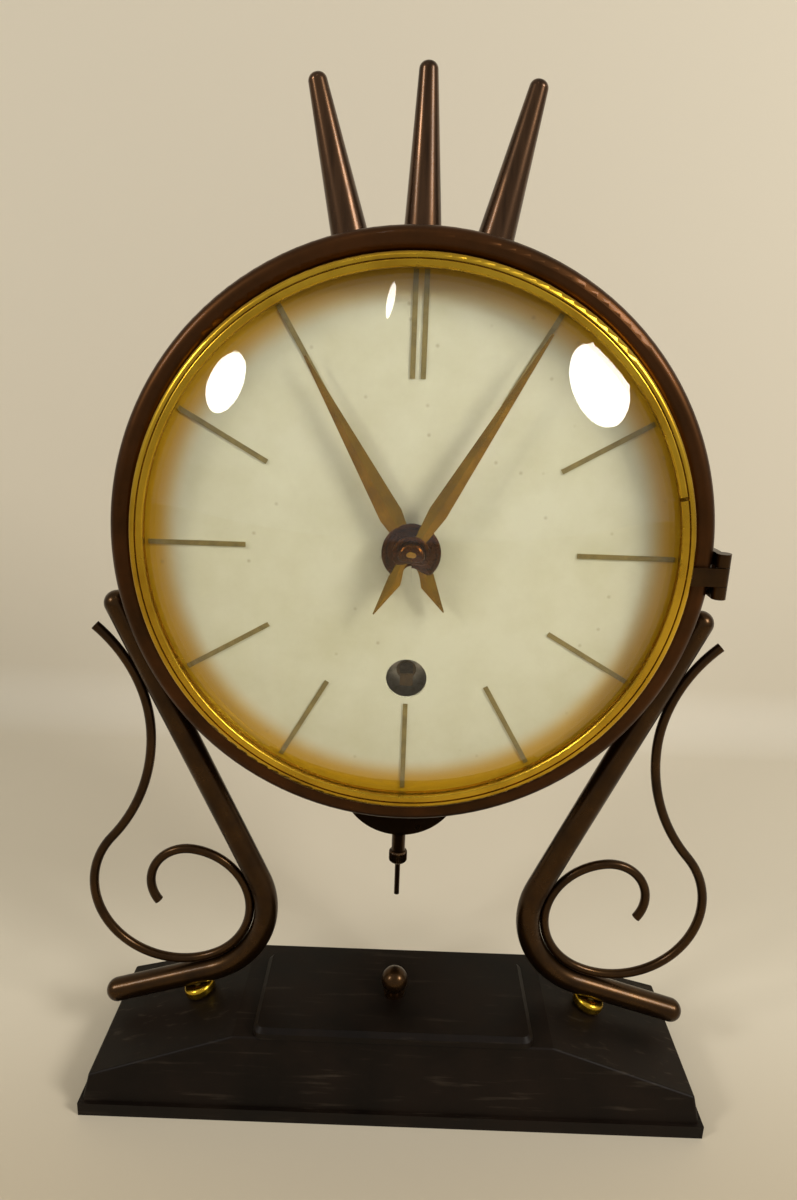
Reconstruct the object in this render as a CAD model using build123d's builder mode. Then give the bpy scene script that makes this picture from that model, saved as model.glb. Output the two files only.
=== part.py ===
"""Table clock with a drum case on two bent legs, a hump-shaped base and a pendulum behind the drum.

Millimetres. +Z is up, the dial faces -Y, and the origin is the middle of the base's footprint on the table.
"""

import math
import os

from build123d import *

os.makedirs("parts", exist_ok=True)

# General
overrun = 1.0
running_gap = 0.05
seat_gap = 0.02
free_gap = 0.3

# Base
base_width = 172.0
base_depth = 48.0
plinth_height = 4.0
plinth_step = 1.0
land_height = 23.5
land_half = 44.0
batter_angle = 12.0
cheek_angle = 17.1
base_edge = 0.8
foot_pad_radius = 5.0
foot_pad_height = 1.2
foot_pad_x = 70.0
foot_pad_y = 15.0

# Key well and its lid
lid_width = 77.0
lid_depth = 32.0
lid_thick = 3.0
lid_y = -3.5
lid_corner = 3.0
lid_bevel = 1.2
well_width = 66.0
well_depth = 24.0
well_deep = 15.0
tongue_height = 2.5
tongue_gap = 0.4
tongue_run = 3.0
knob_radius = 3.8
knob_neck = 1.9
knob_height = 8.4
knob_stem = 1.5
knob_foot_radius = 3.0
knob_foot_height = 0.7

# Winding key
key_shank_radius = 2.6
key_shank_length = 30.0
key_bow_radius = 7.0
key_bow_thick = 2.4
key_bow_gap = 8.0
key_square = 3.7
key_square_deep = 12.0

# Legs
hub_height = 158.0
drum_radius = 73.0
leg_thick = 6.8
leg_middle = 2.4
leg_lean = 23.8
leg_top_run = 14.0
leg_knee_radius = 23.0
leg_foot_x = 82.5
leg_foot_height = 19.0

# Scroll wires
wire_radius = 1.3
wire_gap = 0.05
wire_top_radius = 40.0
wire_top_height = 104.0
wire_top_sweep = 48.0
wire_loop_radius = 24.0
wire_coil_radius = leg_knee_radius - leg_thick / 2 - wire_radius - wire_gap
wire_end_radius = 11.0
wire_join_angle = 245.0
wire_curl_angle = 98.0
wire_end_angle = -35.0

# Leg fixings
spacer_x = 57.5
spacer_radius = 4.5
spacer_bore = 1.6
spacer_round = 1.3
leg_screw_radius = 1.5
leg_screw_head = 3.5
leg_screw_head_height = 2.4
leg_screw_bite = 4.5
case_screw_radius = 1.5
case_screw_head = 2.6
case_screw_head_height = 1.8
case_screw_bite = 4.0

# Drum case, distances along Y
case_wall = 1.5
rim_proud = 0.9
rim_width = 5.5
rim_radius = drum_radius + rim_proud
rim_inner = rim_radius - rim_width
rim_front = -6.2
rim_back = -1.8
rim_outer_round = 2.6
rim_inner_round = 1.6
case_back = 40.0
ledge_inner = 52.0
ledge_thick = 1.5
cover_thick = 1.0
cover_lip = 4.0
cover_lip_wall = 1.0
cover_window_half = 13.0
cover_window_low = 8.0
cover_window_high = 57.0

# Spikes
spike_base_radius = 4.8
spike_tip_radius = 2.15
spike_length = 39.0
spike_tip_round = 1.9
spike_y = 17.0
spike_angle = 13.6
spike_stud_radius = 1.5
spike_stud_length = 6.0
spike_nut_radius = 3.0
spike_nut_height = 2.0

# Bezel and glass
bezel_gap = 0.4
bezel_wall = 1.5
bezel_seat = 1.6
bezel_radius = rim_inner - bezel_gap
bezel_bore = bezel_radius - bezel_wall
opening_radius = bezel_bore - bezel_seat
bezel_front = -9.6
bezel_back = -4.1
bezel_flange = 1.0
bezel_round = 1.2
glass_radius = bezel_bore - free_gap
glass_thick = 2.0
glass_rise = 18.0
ring_gap = 0.15
ring_width = 1.9
ring_outer = bezel_bore - ring_gap
ring_inner = ring_outer - ring_width
ring_round = 0.45
ring_front = -9.6
ring_thick = 1.0
ring_split = 0.9
ring_split_angle = 14.0

# Bezel hinge
hinge_stand = 2.1
hinge_x = rim_radius + hinge_stand
hinge_y = -5.6
hinge_drop = 9.0
hinge_rise = 2.4
hinge_low = hub_height - hinge_drop
hinge_high = hub_height + hinge_rise
hinge_knuckle = 1.8
hinge_pin = 0.8
hinge_leaf = 1.0
hinge_middle_share = 0.4
hinge_gap = 0.15
hinge_leaf_front = -7.6
hinge_foot_gap = 0.03
hinge_foot_x = drum_radius + hinge_foot_gap
hinge_foot_front = -1.6
hinge_foot_back = 5.0
hinge_rivet = 0.8
hinge_rivet_head = 1.5
hinge_rivet_cap = 0.7
hinge_rivet_y = 2.5
hinge_rivet_z = 6.0

# Dial and hands, distances along Y
dial_front = -3.0
dial_thick = 0.8
dial_edge_gap = 0.2
dial_radius = rim_inner - dial_edge_gap
dial_hole = 4.2
mark_inner = 40.6
mark_outer = 64.4
mark_width = 1.2
mark_rise = 0.25
mark_double = 2.5
wind_drop = 33.7
wind_hole = 5.2
minute_reach = 59.2
minute_half = 2.3
minute_tail = 17.5
minute_back = -8.0
minute_thick = 0.7
minute_angle = 30.0
minute_boss = 4.6
hour_reach = 51.8
hour_half = 2.9
hour_tail = 17.0
hour_back = -5.9
hour_thick = 0.7
hour_angle = -30.0
hand_boss = 7.2
hand_widest_share = 0.2
hand_tip_half = 0.35
hand_tail_half_share = 0.8
hand_nut_radius = 3.2
hand_nut_height = 2.6
hand_nut_round = 0.9

# Movement plates, distances along Y
plate_half = 46.0
plate_low = -56.0
plate_high = 54.0
plate_thick = 1.6
plate_corner = 6.0
front_plate_y = 6.0
back_plate_y = 28.0
pillar_radius = 3.0
pillar_end = 1.5
pillar_x = 34.0
pillar_low = -49.0
pillar_high = 45.0
pillar_nut_radius = 2.8
pillar_nut_height = 1.8
post_radius = 2.5
post_screw = 1.1
post_screw_head = 2.1
post_screw_head_height = 1.0
post_screw_length = 6.0

# Tooth shape, as shares of the module and of half the pitch
addendum_share = 0.85
dedendum_share = 1.2
root_share = 0.44
pitch_share = 0.38
tip_share = 0.16

# Wheels
barrel_teeth = 72
centre_pinion_teeth = 12
barrel_module = 2 * wind_drop / (barrel_teeth + centre_pinion_teeth)
barrel_y = 9.0
barrel_rim = 2.0
barrel_length = 12.0
barrel_radius = 26.0
barrel_wall = 1.2
barrel_floor = 1.2
spring_turns = 6
spring_thick = 0.5
spring_inner = 4.4
spring_outer = 24.4
spring_steps = 12
spring_side_gap = 0.4
wind_arbor_radius = 4.0
wind_pivot_radius = 2.6
wind_back_radius = 2.0
wind_square = 3.3
wind_square_front = -3.6
ratchet_radius = 9.0
ratchet_teeth = 24
ratchet_depth = 1.2
ratchet_lean_share = 0.8
ratchet_y = 3.6
ratchet_thick = 1.6
click_pivot_x = 16.5
click_pivot_z = -22.0
click_pivot_radius = 1.5
click_boss = 3.2
click_thick = 1.4
click_nose_clear = 0.25
click_half = 1.4
click_nose_angle = 75.0
click_screw_head = 2.6
click_screw_cap = 1.0
centre_teeth = 60
third_pinion_teeth = 12
centre_module = 0.7
centre_wheel_y = 23.0
third_teeth = 58
escape_pinion_teeth = 10
third_module = 0.75
third_angle = 150.0
third_wheel_y = 13.0
wheel_thick = 1.4
pinion_length = 2.6
pinion_lead = 0.6
arbor_end_gap = 0.3
pivot_show = 0.3
arbor_radius = 1.5
pivot_radius = 0.8
escape_teeth = 30
escape_radius = 10.0
escape_depth = 1.8
escape_lean_share = 0.55
escape_wheel_y = 18.0
escape_tip_share = 0.12
anchor_rise = 16.0
anchor_thick = 2.0
anchor_half = 1.2
anchor_clear = 0.9
anchor_span = 52.0
anchor_boss = 3.0
crutch_y = 33.0
crutch_thick = 1.2
crutch_half = 1.5
crutch_length = 16.0
crutch_pin = 0.8
crutch_pin_gap = 0.2
crutch_pin_reach = 2.0

# Motion work
cannon_teeth = 12
minute_wheel_teeth = 36
cannon_module = 0.75
minute_pinion_teeth = 10
hour_wheel_teeth = 40
hour_module = 0.72
minute_wheel_y = 2.2
hour_wheel_y = -0.6
stud_angle = 45.0
stud_radius = 1.2
stud_flange = 2.2
cannon_radius = 2.0
cannon_bore = 1.22
centre_front_radius = 1.2
hour_pipe_radius = 3.0
hour_pipe_bore = 2.1

# Pendulum
pendulum_y = 47.0
cock_width = 10.0
cock_thick = 2.0
cock_pin = 1.2
cock_rise = 8.0
cock_back = 51.0
cock_pin_front = 44.6
cock_foot_low = 4.0
cock_foot_half = 10.0
cock_screw_x = 7.0
rod_radius = 0.9
rod_eye = 3.4
rod_eye_thick = 3.0
rod_end = -134.0
bob_radius = 20.0
bob_half = 4.2
bob_edge = 1.6
bob_drop = -90.0
bob_bore = 1.0
sleeve_radius = 2.3
sleeve_low = -116.6
nut_radius = 3.1
nut_height = 4.2
nut_bore = 0.95
nut_round = 0.8


def facing(y, x=0.0, z=0.0):
    """Plane across the clock at depth y, centred x and z from the hub, looking at the viewer."""
    return Plane(origin=(x, y, hub_height + z), x_dir=(1, 0, 0), z_dir=(0, -1, 0))


def polar(radius, angle):
    """Point at a radius and an angle in degrees, counted from +X."""
    return (radius * math.cos(math.radians(angle)), radius * math.sin(math.radians(angle)))


def tooth_points(teeth, module, start):
    """Outline of a wheel with straight-sided teeth, its first tooth at the start angle in degrees."""
    radius = teeth * module / 2
    low = radius - dedendum_share * module
    high = radius + addendum_share * module
    step = 360.0 / teeth
    stations = [
        (low, -root_share),
        (radius, -pitch_share),
        (high, -tip_share),
        (high, tip_share),
        (radius, pitch_share),
        (low, root_share),
    ]
    return [polar(r, start + (i + share / 2) * step) for i in range(teeth) for r, share in stations]


def saw_points(teeth, radius, depth, lean, tip, turn):
    """Outline of a wheel with pointed teeth that lean to one side."""
    step = 360.0 / teeth
    points = []
    for i in range(teeth):
        points.append(polar(radius - depth, turn + i * step))
        points.append(polar(radius, turn + (i + lean) * step))
        points.append(polar(radius, turn + (i + lean + tip) * step))
    return points


def hand_points(reach, half, tail):
    """Outline of a tapering hand that points to twelve, with a pointed tail."""
    widest = reach * hand_widest_share
    tail_half = half * hand_tail_half_share
    return [
        (-hand_tip_half, reach),
        (-half, widest),
        (-tail_half / 2, 0.0),
        (-tail_half, -hand_boss),
        (0.0, -tail),
        (tail_half, -hand_boss),
        (tail_half / 2, 0.0),
        (half, widest),
        (hand_tip_half, reach),
    ]


# Places worked out from the sizes above
lean = math.radians(leg_lean)
leg_out = (math.cos(lean), -math.sin(lean))
leg_up = (math.sin(lean), math.cos(lean))
leg_reach = drum_radius + leg_thick / 2 + seat_gap
leg_touch = (leg_out[0] * leg_reach, hub_height + leg_out[1] * leg_reach)
leg_top = (leg_touch[0] + leg_up[0] * leg_top_run, leg_touch[1] + leg_up[1] * leg_top_run)
foot_run = (math.cos(math.radians(cheek_angle)), -math.sin(math.radians(cheek_angle)))
leg_foot = (leg_foot_x, leg_foot_height)
cross = leg_up[0] * foot_run[1] - leg_up[1] * foot_run[0]
along = ((leg_foot[0] - leg_top[0]) * foot_run[1] - (leg_foot[1] - leg_top[1]) * foot_run[0]) / cross
leg_corner = (leg_top[0] + leg_up[0] * along, leg_top[1] + leg_up[1] * along)
corner_half = math.radians((90 - leg_lean + cheek_angle) / 2)
bisector = ((leg_up[0] + foot_run[0]), (leg_up[1] + foot_run[1]))
bisector_size = math.hypot(bisector[0], bisector[1])
knee_far = leg_knee_radius / math.sin(corner_half)
knee = (
    leg_corner[0] + bisector[0] / bisector_size * knee_far,
    leg_corner[1] + bisector[1] / bisector_size * knee_far,
)
cheek_slope = math.tan(math.radians(cheek_angle))
cheek_at_spacer = land_height - (spacer_x - land_half) * cheek_slope
foot_under = leg_foot[1] + (leg_foot[0] - spacer_x) * cheek_slope - leg_thick / 2 / foot_run[0]
spacer_height = (foot_under - cheek_at_spacer) * foot_run[0] - 2 * seat_gap
third_reach = (centre_teeth + third_pinion_teeth) * centre_module / 2
third_place = polar(third_reach, third_angle)
escape_reach = (third_teeth + escape_pinion_teeth) * third_module / 2
escape_rise = third_place[1] + math.sqrt(escape_reach**2 - third_place[0] ** 2)
anchor_place = escape_rise + anchor_rise
stud_reach = (cannon_teeth + minute_wheel_teeth) * cannon_module / 2
stud_place = polar(stud_reach, stud_angle)
sheet_end = back_plate_y + plate_thick
mesh_third = math.degrees(math.atan2(escape_rise - third_place[1], -third_place[0]))

# Base block
with BuildPart() as base_block:
    with BuildSketch():
        Rectangle(base_width, base_depth)
    extrude(amount=plinth_height)
    with BuildSketch(Plane.XY.offset(plinth_height)):
        Rectangle(base_width - 2 * plinth_step, base_depth - 2 * plinth_step)
    extrude(amount=land_height - plinth_height, taper=batter_angle)
    with BuildSketch(Plane.XZ.offset(-base_depth)):
        for side in (1, -1):
            with BuildLine():
                Polyline(
                    (side * land_half, land_height),
                    (side * base_width, land_height - (base_width - land_half) * cheek_slope),
                    (side * base_width, land_height + overrun),
                    (side * land_half, land_height + overrun),
                    close=True,
                )
            make_face()
    extrude(amount=2 * base_depth, mode=Mode.SUBTRACT)
    soft = [e for e in base_block.edges() if e.center().Z > plinth_height + overrun]
    fillet(soft, base_edge)
    with BuildSketch(Plane.XY.offset(land_height)):
        with Locations((0, lid_y)):
            Rectangle(well_width, well_depth)
    extrude(amount=-well_deep, mode=Mode.SUBTRACT)
    for side in (1, -1):
        screw_plane = Plane(
            origin=(side * spacer_x, leg_middle, cheek_at_spacer),
            x_dir=(side * foot_run[0], 0, foot_run[1]),
            z_dir=(-side * foot_run[1], 0, foot_run[0]),
        )
        with BuildSketch(screw_plane.offset(overrun)):
            Circle(leg_screw_radius + free_gap)
        extrude(amount=-land_height - overrun, mode=Mode.SUBTRACT)
        with BuildSketch(screw_plane.offset(-land_height / 2)):
            Circle(leg_screw_head + free_gap)
        extrude(amount=-land_height, mode=Mode.SUBTRACT)
    with BuildSketch():
        with GridLocations(2 * foot_pad_x, 2 * foot_pad_y, 2, 2):
            Circle(foot_pad_radius + free_gap)
    extrude(amount=foot_pad_height + seat_gap, mode=Mode.SUBTRACT)
base_block.part.label = "base_block"
export_step(base_block.part, "parts/base_block.step")

# Felt feet, let in flush with the underside
with BuildPart() as felt_feet:
    with BuildSketch():
        with GridLocations(2 * foot_pad_x, 2 * foot_pad_y, 2, 2):
            Circle(foot_pad_radius)
    extrude(amount=foot_pad_height)
felt_feet.part.label = "felt_feet"
export_step(felt_feet.part, "parts/felt_feet.step")

# Lid of the key well, with a rib at its back that drops into the well and stops its slide
rib_y = lid_y + well_depth / 2 - tongue_gap - tongue_run / 2
with BuildPart() as key_lid:
    with BuildSketch(Plane.XY.offset(land_height + seat_gap)):
        with Locations((0, lid_y)):
            RectangleRounded(lid_width, lid_depth, lid_corner)
    extrude(amount=lid_thick)
    chamfer(key_lid.faces().sort_by(Axis.Z)[-1].edges(), lid_bevel)
    with BuildSketch(Plane.XY.offset(land_height + seat_gap)):
        with Locations((0, rib_y)):
            Rectangle(well_width - 2 * tongue_gap, tongue_run)
    extrude(amount=-tongue_height)
    with BuildSketch(Plane.XY.offset(land_height + lid_thick + overrun)):
        with Locations((0, lid_y)):
            Circle(knob_stem + seat_gap)
    extrude(amount=-lid_thick - overrun, mode=Mode.SUBTRACT)
key_lid.part.label = "key_lid"
export_step(key_lid.part, "parts/key_lid.step")

# Turned knob with its stem in the lid
knob_foot = land_height + lid_thick + 2 * seat_gap
ball_middle = knob_foot + knob_height - knob_radius
ball_start = ball_middle - math.sqrt(knob_radius**2 - knob_neck**2)
with BuildPart() as lid_knob:
    with BuildSketch(Plane.XZ.offset(-lid_y)):
        with BuildLine():
            Polyline(
                (0, knob_foot + knob_height),
                (0, knob_foot - lid_thick),
                (knob_stem, knob_foot - lid_thick),
                (knob_stem, knob_foot),
                (knob_foot_radius, knob_foot),
                (knob_foot_radius, knob_foot + knob_foot_height),
                (knob_neck, knob_foot + knob_foot_height),
                (knob_neck, ball_start),
            )
            ThreePointArc((knob_neck, ball_start), (knob_radius, ball_middle), (0, knob_foot + knob_height))
        make_face()
    revolve(axis=Axis((0, lid_y, 0), (0, 0, 1)))
lid_knob.part.label = "lid_knob"
export_step(lid_knob.part, "parts/lid_knob.step")

# Winding key, lying in the well
key_rest = land_height - well_deep + key_shank_radius + seat_gap
key_start = -key_shank_length / 2 - key_bow_radius
with BuildPart() as winding_key:
    with BuildSketch(Plane.YZ.offset(key_start)):
        with Locations((lid_y, key_rest)):
            Circle(key_shank_radius)
    extrude(amount=key_shank_length)
    with BuildSketch(Plane.YZ.offset(key_start - overrun)):
        with Locations((lid_y, key_rest)):
            Rectangle(key_square, key_square)
    extrude(amount=key_square_deep + overrun, mode=Mode.SUBTRACT)
    with BuildSketch(Plane.XY.offset(key_rest - key_bow_thick / 2)):
        with Locations((key_start + key_shank_length + key_bow_radius / 2, lid_y)):
            SlotCenterToCenter(key_bow_gap, 2 * key_bow_radius, rotation=90)
    extrude(amount=key_bow_thick)
    with BuildSketch(Plane.XY.offset(key_rest - key_bow_thick)):
        for side in (1, -1):
            with Locations((key_start + key_shank_length + key_bow_radius / 2, lid_y + side * key_bow_gap / 2)):
                Circle(key_bow_radius / 2)
    extrude(amount=2 * key_bow_thick, mode=Mode.SUBTRACT)
winding_key.part.label = "winding_key"
export_step(winding_key.part, "parts/winding_key.step")

# Right leg, a round rod with ball ends, bent in one plane
with BuildPart() as right_leg:
    with BuildLine(Plane.XZ.offset(-leg_middle)) as leg_path:
        FilletPolyline(leg_top, leg_corner, leg_foot, radius=leg_knee_radius)
    with BuildSketch(Plane(origin=leg_path.line @ 0, z_dir=leg_path.line % 0)):
        Circle(leg_thick / 2)
    sweep(path=leg_path.line)
    with Locations(leg_path.line @ 0, leg_path.line @ 1):
        Sphere(leg_thick / 2)
    foot_plane = Plane(
        origin=(spacer_x, leg_middle, cheek_at_spacer),
        x_dir=(foot_run[0], 0, foot_run[1]),
        z_dir=(-foot_run[1], 0, foot_run[0]),
    )
    with BuildSketch(foot_plane):
        Circle(leg_screw_radius + seat_gap)
    extrude(amount=spacer_height + leg_screw_bite + free_gap, mode=Mode.SUBTRACT)
    touch_plane = Plane(
        origin=(0, leg_middle, hub_height), x_dir=(0, 1, 0), z_dir=(leg_out[0], 0, leg_out[1])
    )
    with BuildSketch(touch_plane.offset(drum_radius - overrun)):
        Circle(case_screw_radius + seat_gap)
    extrude(amount=overrun + case_screw_bite + free_gap, mode=Mode.SUBTRACT)
right_leg.part.label = "right_leg"
export_step(right_leg.part, "parts/right_leg.step")

with BuildPart() as left_leg:
    mirror(right_leg.part, about=Plane.YZ)
left_leg.part.label = "left_leg"
export_step(left_leg.part, "parts/left_leg.step")

# Right scroll wire: a flared top that touches the leg, an S bend and a coil inside the knee
top_far = leg_reach + leg_thick / 2 + wire_radius + wire_gap + wire_top_radius
top_x = (top_far - leg_out[1] * (wire_top_height - hub_height)) / leg_out[0]
coil = knee
loop_shift = wire_loop_radius - wire_coil_radius
loop_side = polar(loop_shift, wire_join_angle)
loop = (coil[0] - loop_side[0], coil[1] - loop_side[1])
bend_shift = loop[0] + wire_loop_radius - (top_x - wire_top_radius)
bend_drop = wire_top_height - loop[1]
bend_angle = 2 * math.degrees(math.atan2(bend_shift, bend_drop))
bend_radius = bend_drop / math.sin(math.radians(bend_angle)) - wire_loop_radius
bend_x = top_x - wire_top_radius + bend_radius
curl_side = polar(wire_coil_radius - wire_end_radius, wire_curl_angle)
curl = (coil[0] + curl_side[0], coil[1] + curl_side[1])
with BuildPart() as right_scroll:
    with BuildLine(Plane.XZ.offset(-leg_middle)) as right_path:
        flare = CenterArc((top_x, wire_top_height), wire_top_radius, 180 - wire_top_sweep, wire_top_sweep)
        CenterArc((bend_x, wire_top_height), bend_radius, 180, bend_angle)
        CenterArc(loop, wire_loop_radius, bend_angle, wire_join_angle - 360 - bend_angle)
        CenterArc(coil, wire_coil_radius, wire_join_angle, wire_curl_angle - wire_join_angle)
        CenterArc(curl, wire_end_radius, wire_curl_angle, wire_end_angle - wire_curl_angle)
    with BuildSketch(Plane(origin=flare @ 0, z_dir=flare % 0)):
        Circle(wire_radius)
    sweep(path=right_path.line)
right_scroll.part.label = "right_scroll"
export_step(right_scroll.part, "parts/right_scroll.step")

with BuildPart() as left_scroll:
    mirror(right_scroll.part, about=Plane.YZ)
left_scroll.part.label = "left_scroll"
export_step(left_scroll.part, "parts/left_scroll.step")

# Brass spacers between the feet of the legs and the cheeks, rounded like beads
with BuildPart() as leg_spacers:
    for side in (1, -1):
        spacer_plane = Plane(
            origin=(side * spacer_x, leg_middle, cheek_at_spacer),
            x_dir=(side * foot_run[0], 0, foot_run[1]),
            z_dir=(-side * foot_run[1], 0, foot_run[0]),
        )
        with BuildSketch(spacer_plane.offset(seat_gap)):
            Circle(spacer_radius)
            Circle(spacer_bore, mode=Mode.SUBTRACT)
        extrude(amount=spacer_height)
    rings = leg_spacers.edges().filter_by(GeomType.CIRCLE)
    fillet([e for e in rings if e.radius > spacer_bore + seat_gap], spacer_round)
leg_spacers.part.label = "leg_spacers"
export_step(leg_spacers.part, "parts/leg_spacers.step")

# Screws from under the base through the spacers into the legs
screw_rise = spacer_height + leg_screw_bite
with BuildPart() as leg_screws:
    for side in (1, -1):
        spacer_plane = Plane(
            origin=(side * spacer_x, leg_middle, cheek_at_spacer),
            x_dir=(side * foot_run[0], 0, foot_run[1]),
            z_dir=(-side * foot_run[1], 0, foot_run[0]),
        )
        with BuildSketch(spacer_plane.offset(screw_rise)):
            Circle(leg_screw_radius)
        extrude(amount=-screw_rise - land_height / 2 - seat_gap)
        with BuildSketch(spacer_plane.offset(-land_height / 2 - seat_gap)):
            Circle(leg_screw_head)
        extrude(amount=-leg_screw_head_height)
leg_screws.part.label = "leg_screws"
export_step(leg_screws.part, "parts/leg_screws.step")

# Screws from inside the drum into the legs
screw_seat = drum_radius - case_wall - seat_gap
with BuildPart() as case_screws:
    for side in (1, -1):
        screw_plane = Plane(
            origin=(0, leg_middle, hub_height), x_dir=(0, 1, 0), z_dir=(side * leg_out[0], 0, leg_out[1])
        )
        with BuildSketch(screw_plane.offset(drum_radius + case_screw_bite)):
            Circle(case_screw_radius)
        extrude(amount=-case_screw_bite - case_wall - case_screw_head)
        with BuildSketch(screw_plane.offset(screw_seat - free_gap)):
            Circle(case_screw_head)
        extrude(amount=-case_screw_head_height)
case_screws.part.label = "case_screws"
export_step(case_screws.part, "parts/case_screws.step")

# Drum case: a turned shell with a convex rim and an inner ledge for the dial
ledge_front = dial_front + dial_thick + seat_gap
drum_inner = drum_radius - case_wall
turning = Axis((0, 0, hub_height), (0, 1, 0))
with BuildPart() as case_drum:
    with BuildSketch(Plane.YZ):
        with BuildLine():
            Polyline(
                (rim_front, hub_height + rim_inner),
                (rim_front, hub_height + rim_radius),
                (rim_back, hub_height + rim_radius),
                (rim_back, hub_height + drum_radius),
                (case_back, hub_height + drum_radius),
                (case_back, hub_height + drum_inner),
                (ledge_front + ledge_thick, hub_height + drum_inner),
                (ledge_front + ledge_thick, hub_height + ledge_inner),
                (ledge_front, hub_height + ledge_inner),
                (ledge_front, hub_height + rim_inner),
                close=True,
            )
        make_face()
    revolve(axis=turning)
    front_edges = case_drum.edges().group_by(Axis.Y)[0].sort_by(SortBy.RADIUS)
    fillet(front_edges[0], rim_inner_round)
    fillet(case_drum.edges().group_by(Axis.Y)[0].sort_by(SortBy.RADIUS)[-1], rim_outer_round)
    for side in (1, -1):
        hole_plane = Plane(
            origin=(0, leg_middle, hub_height), x_dir=(0, 1, 0), z_dir=(side * leg_out[0], 0, leg_out[1])
        )
        with BuildSketch(hole_plane.offset(drum_radius + overrun)):
            Circle(case_screw_radius + running_gap)
        extrude(amount=-case_wall - 2 * overrun, mode=Mode.SUBTRACT)
    for turn in (-spike_angle, 0.0, spike_angle):
        up = (math.sin(math.radians(turn)), 0, math.cos(math.radians(turn)))
        with BuildSketch(Plane(origin=(0, spike_y, hub_height), x_dir=(0, 1, 0), z_dir=up).offset(drum_radius + overrun)):
            Circle(spike_stud_radius + running_gap)
        extrude(amount=-case_wall - 2 * overrun, mode=Mode.SUBTRACT)
    with BuildSketch(facing(ledge_front + ledge_thick + overrun)):
        with Locations(
            (pillar_x, pillar_low), (-pillar_x, pillar_low), (pillar_x, pillar_high), (-pillar_x, pillar_high)
        ):
            Circle(post_screw + running_gap)
    extrude(amount=ledge_thick + 2 * overrun, mode=Mode.SUBTRACT)
    with BuildSketch(facing(ledge_front + post_screw_head_height + seat_gap)):
        with Locations(
            (pillar_x, pillar_low), (-pillar_x, pillar_low), (pillar_x, pillar_high), (-pillar_x, pillar_high)
        ):
            Circle(post_screw_head + running_gap)
    extrude(amount=post_screw_head_height + overrun, mode=Mode.SUBTRACT)
    hinge_middle = (hinge_low + hinge_high) / 2
    with BuildSketch(Plane.YZ.offset(drum_radius + overrun)):
        for side in (1, -1):
            with Locations((hinge_rivet_y, hinge_middle + side * hinge_rivet_z / 2)):
                Circle(hinge_rivet + running_gap)
    extrude(amount=-case_wall - 2 * overrun, mode=Mode.SUBTRACT)
case_drum.part.label = "case_drum"
export_step(case_drum.part, "parts/case_drum.step")

# Back cover: a cap pressed into the shell, with a window for the crutch and the cock
with BuildPart() as back_cover:
    with BuildSketch(facing(case_back + seat_gap + cover_thick)):
        Circle(drum_radius)
    extrude(amount=cover_thick)
    with BuildSketch(facing(case_back + seat_gap)):
        Circle(drum_inner - running_gap)
        Circle(drum_inner - running_gap - cover_lip_wall, mode=Mode.SUBTRACT)
    extrude(amount=cover_lip)
    with BuildSketch(facing(case_back + cover_thick + overrun, z=(cover_window_low + cover_window_high) / 2)):
        Rectangle(2 * cover_window_half, cover_window_high - cover_window_low)
    extrude(amount=cover_thick + 2 * overrun, mode=Mode.SUBTRACT)
back_cover.part.label = "back_cover"
export_step(back_cover.part, "parts/back_cover.step")

# Three tapered spikes with studs through the shell
spike_taper = math.degrees(math.atan((spike_base_radius - spike_tip_radius) / spike_length))
for spike_name, turn in (("left_spike", -spike_angle), ("centre_spike", 0.0), ("right_spike", spike_angle)):
    up = (math.sin(math.radians(turn)), 0, math.cos(math.radians(turn)))
    root = Plane(origin=(0, spike_y, hub_height), x_dir=(0, 1, 0), z_dir=up).offset(drum_radius + seat_gap)
    with BuildPart() as spike:
        with BuildSketch(root):
            Circle(spike_base_radius)
        extrude(amount=spike_length, taper=spike_taper)
        tip_edge = spike.edges().filter_by(GeomType.CIRCLE).sort_by(SortBy.RADIUS)[0]
        fillet(tip_edge, spike_tip_round)
        with BuildSketch(root):
            Circle(spike_stud_radius)
        extrude(amount=-spike_stud_length)
    spike.part.label = spike_name
    export_step(spike.part, "parts/" + spike_name + ".step")

# Nuts that hold the spikes from inside the shell
nut_seat = math.sqrt(drum_inner**2 - spike_nut_radius**2) - seat_gap
with BuildPart() as spike_nuts:
    for turn in (-spike_angle, 0.0, spike_angle):
        up = (math.sin(math.radians(turn)), 0, math.cos(math.radians(turn)))
        nut_plane = Plane(origin=(0, spike_y, hub_height), x_dir=(0, 1, 0), z_dir=up).offset(nut_seat)
        with BuildSketch(nut_plane):
            RegularPolygon(spike_nut_radius, 6)
            Circle(spike_stud_radius + seat_gap, mode=Mode.SUBTRACT)
        extrude(amount=-spike_nut_height)
spike_nuts.part.label = "spike_nuts"
export_step(spike_nuts.part, "parts/spike_nuts.step")

# Bezel ring with a back flange that carries the glass
hinge_length = hinge_high - hinge_low
middle_low = hinge_low + hinge_length * (1 - hinge_middle_share) / 2
middle_length = hinge_length * hinge_middle_share
with BuildPart() as bezel_ring:
    with BuildSketch(Plane.YZ):
        with BuildLine():
            Polyline(
                (bezel_front, hub_height + bezel_bore),
                (bezel_front, hub_height + bezel_radius),
                (bezel_back, hub_height + bezel_radius),
                (bezel_back, hub_height + opening_radius),
                (bezel_back - bezel_flange, hub_height + opening_radius),
                (bezel_back - bezel_flange, hub_height + bezel_bore),
                close=True,
            )
        make_face()
    revolve(axis=turning)
    fillet(bezel_ring.edges().group_by(Axis.Y)[0].sort_by(SortBy.RADIUS)[-1], bezel_round)
bezel_ring.part.label = "bezel_ring"
export_step(bezel_ring.part, "parts/bezel_ring.step")

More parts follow.
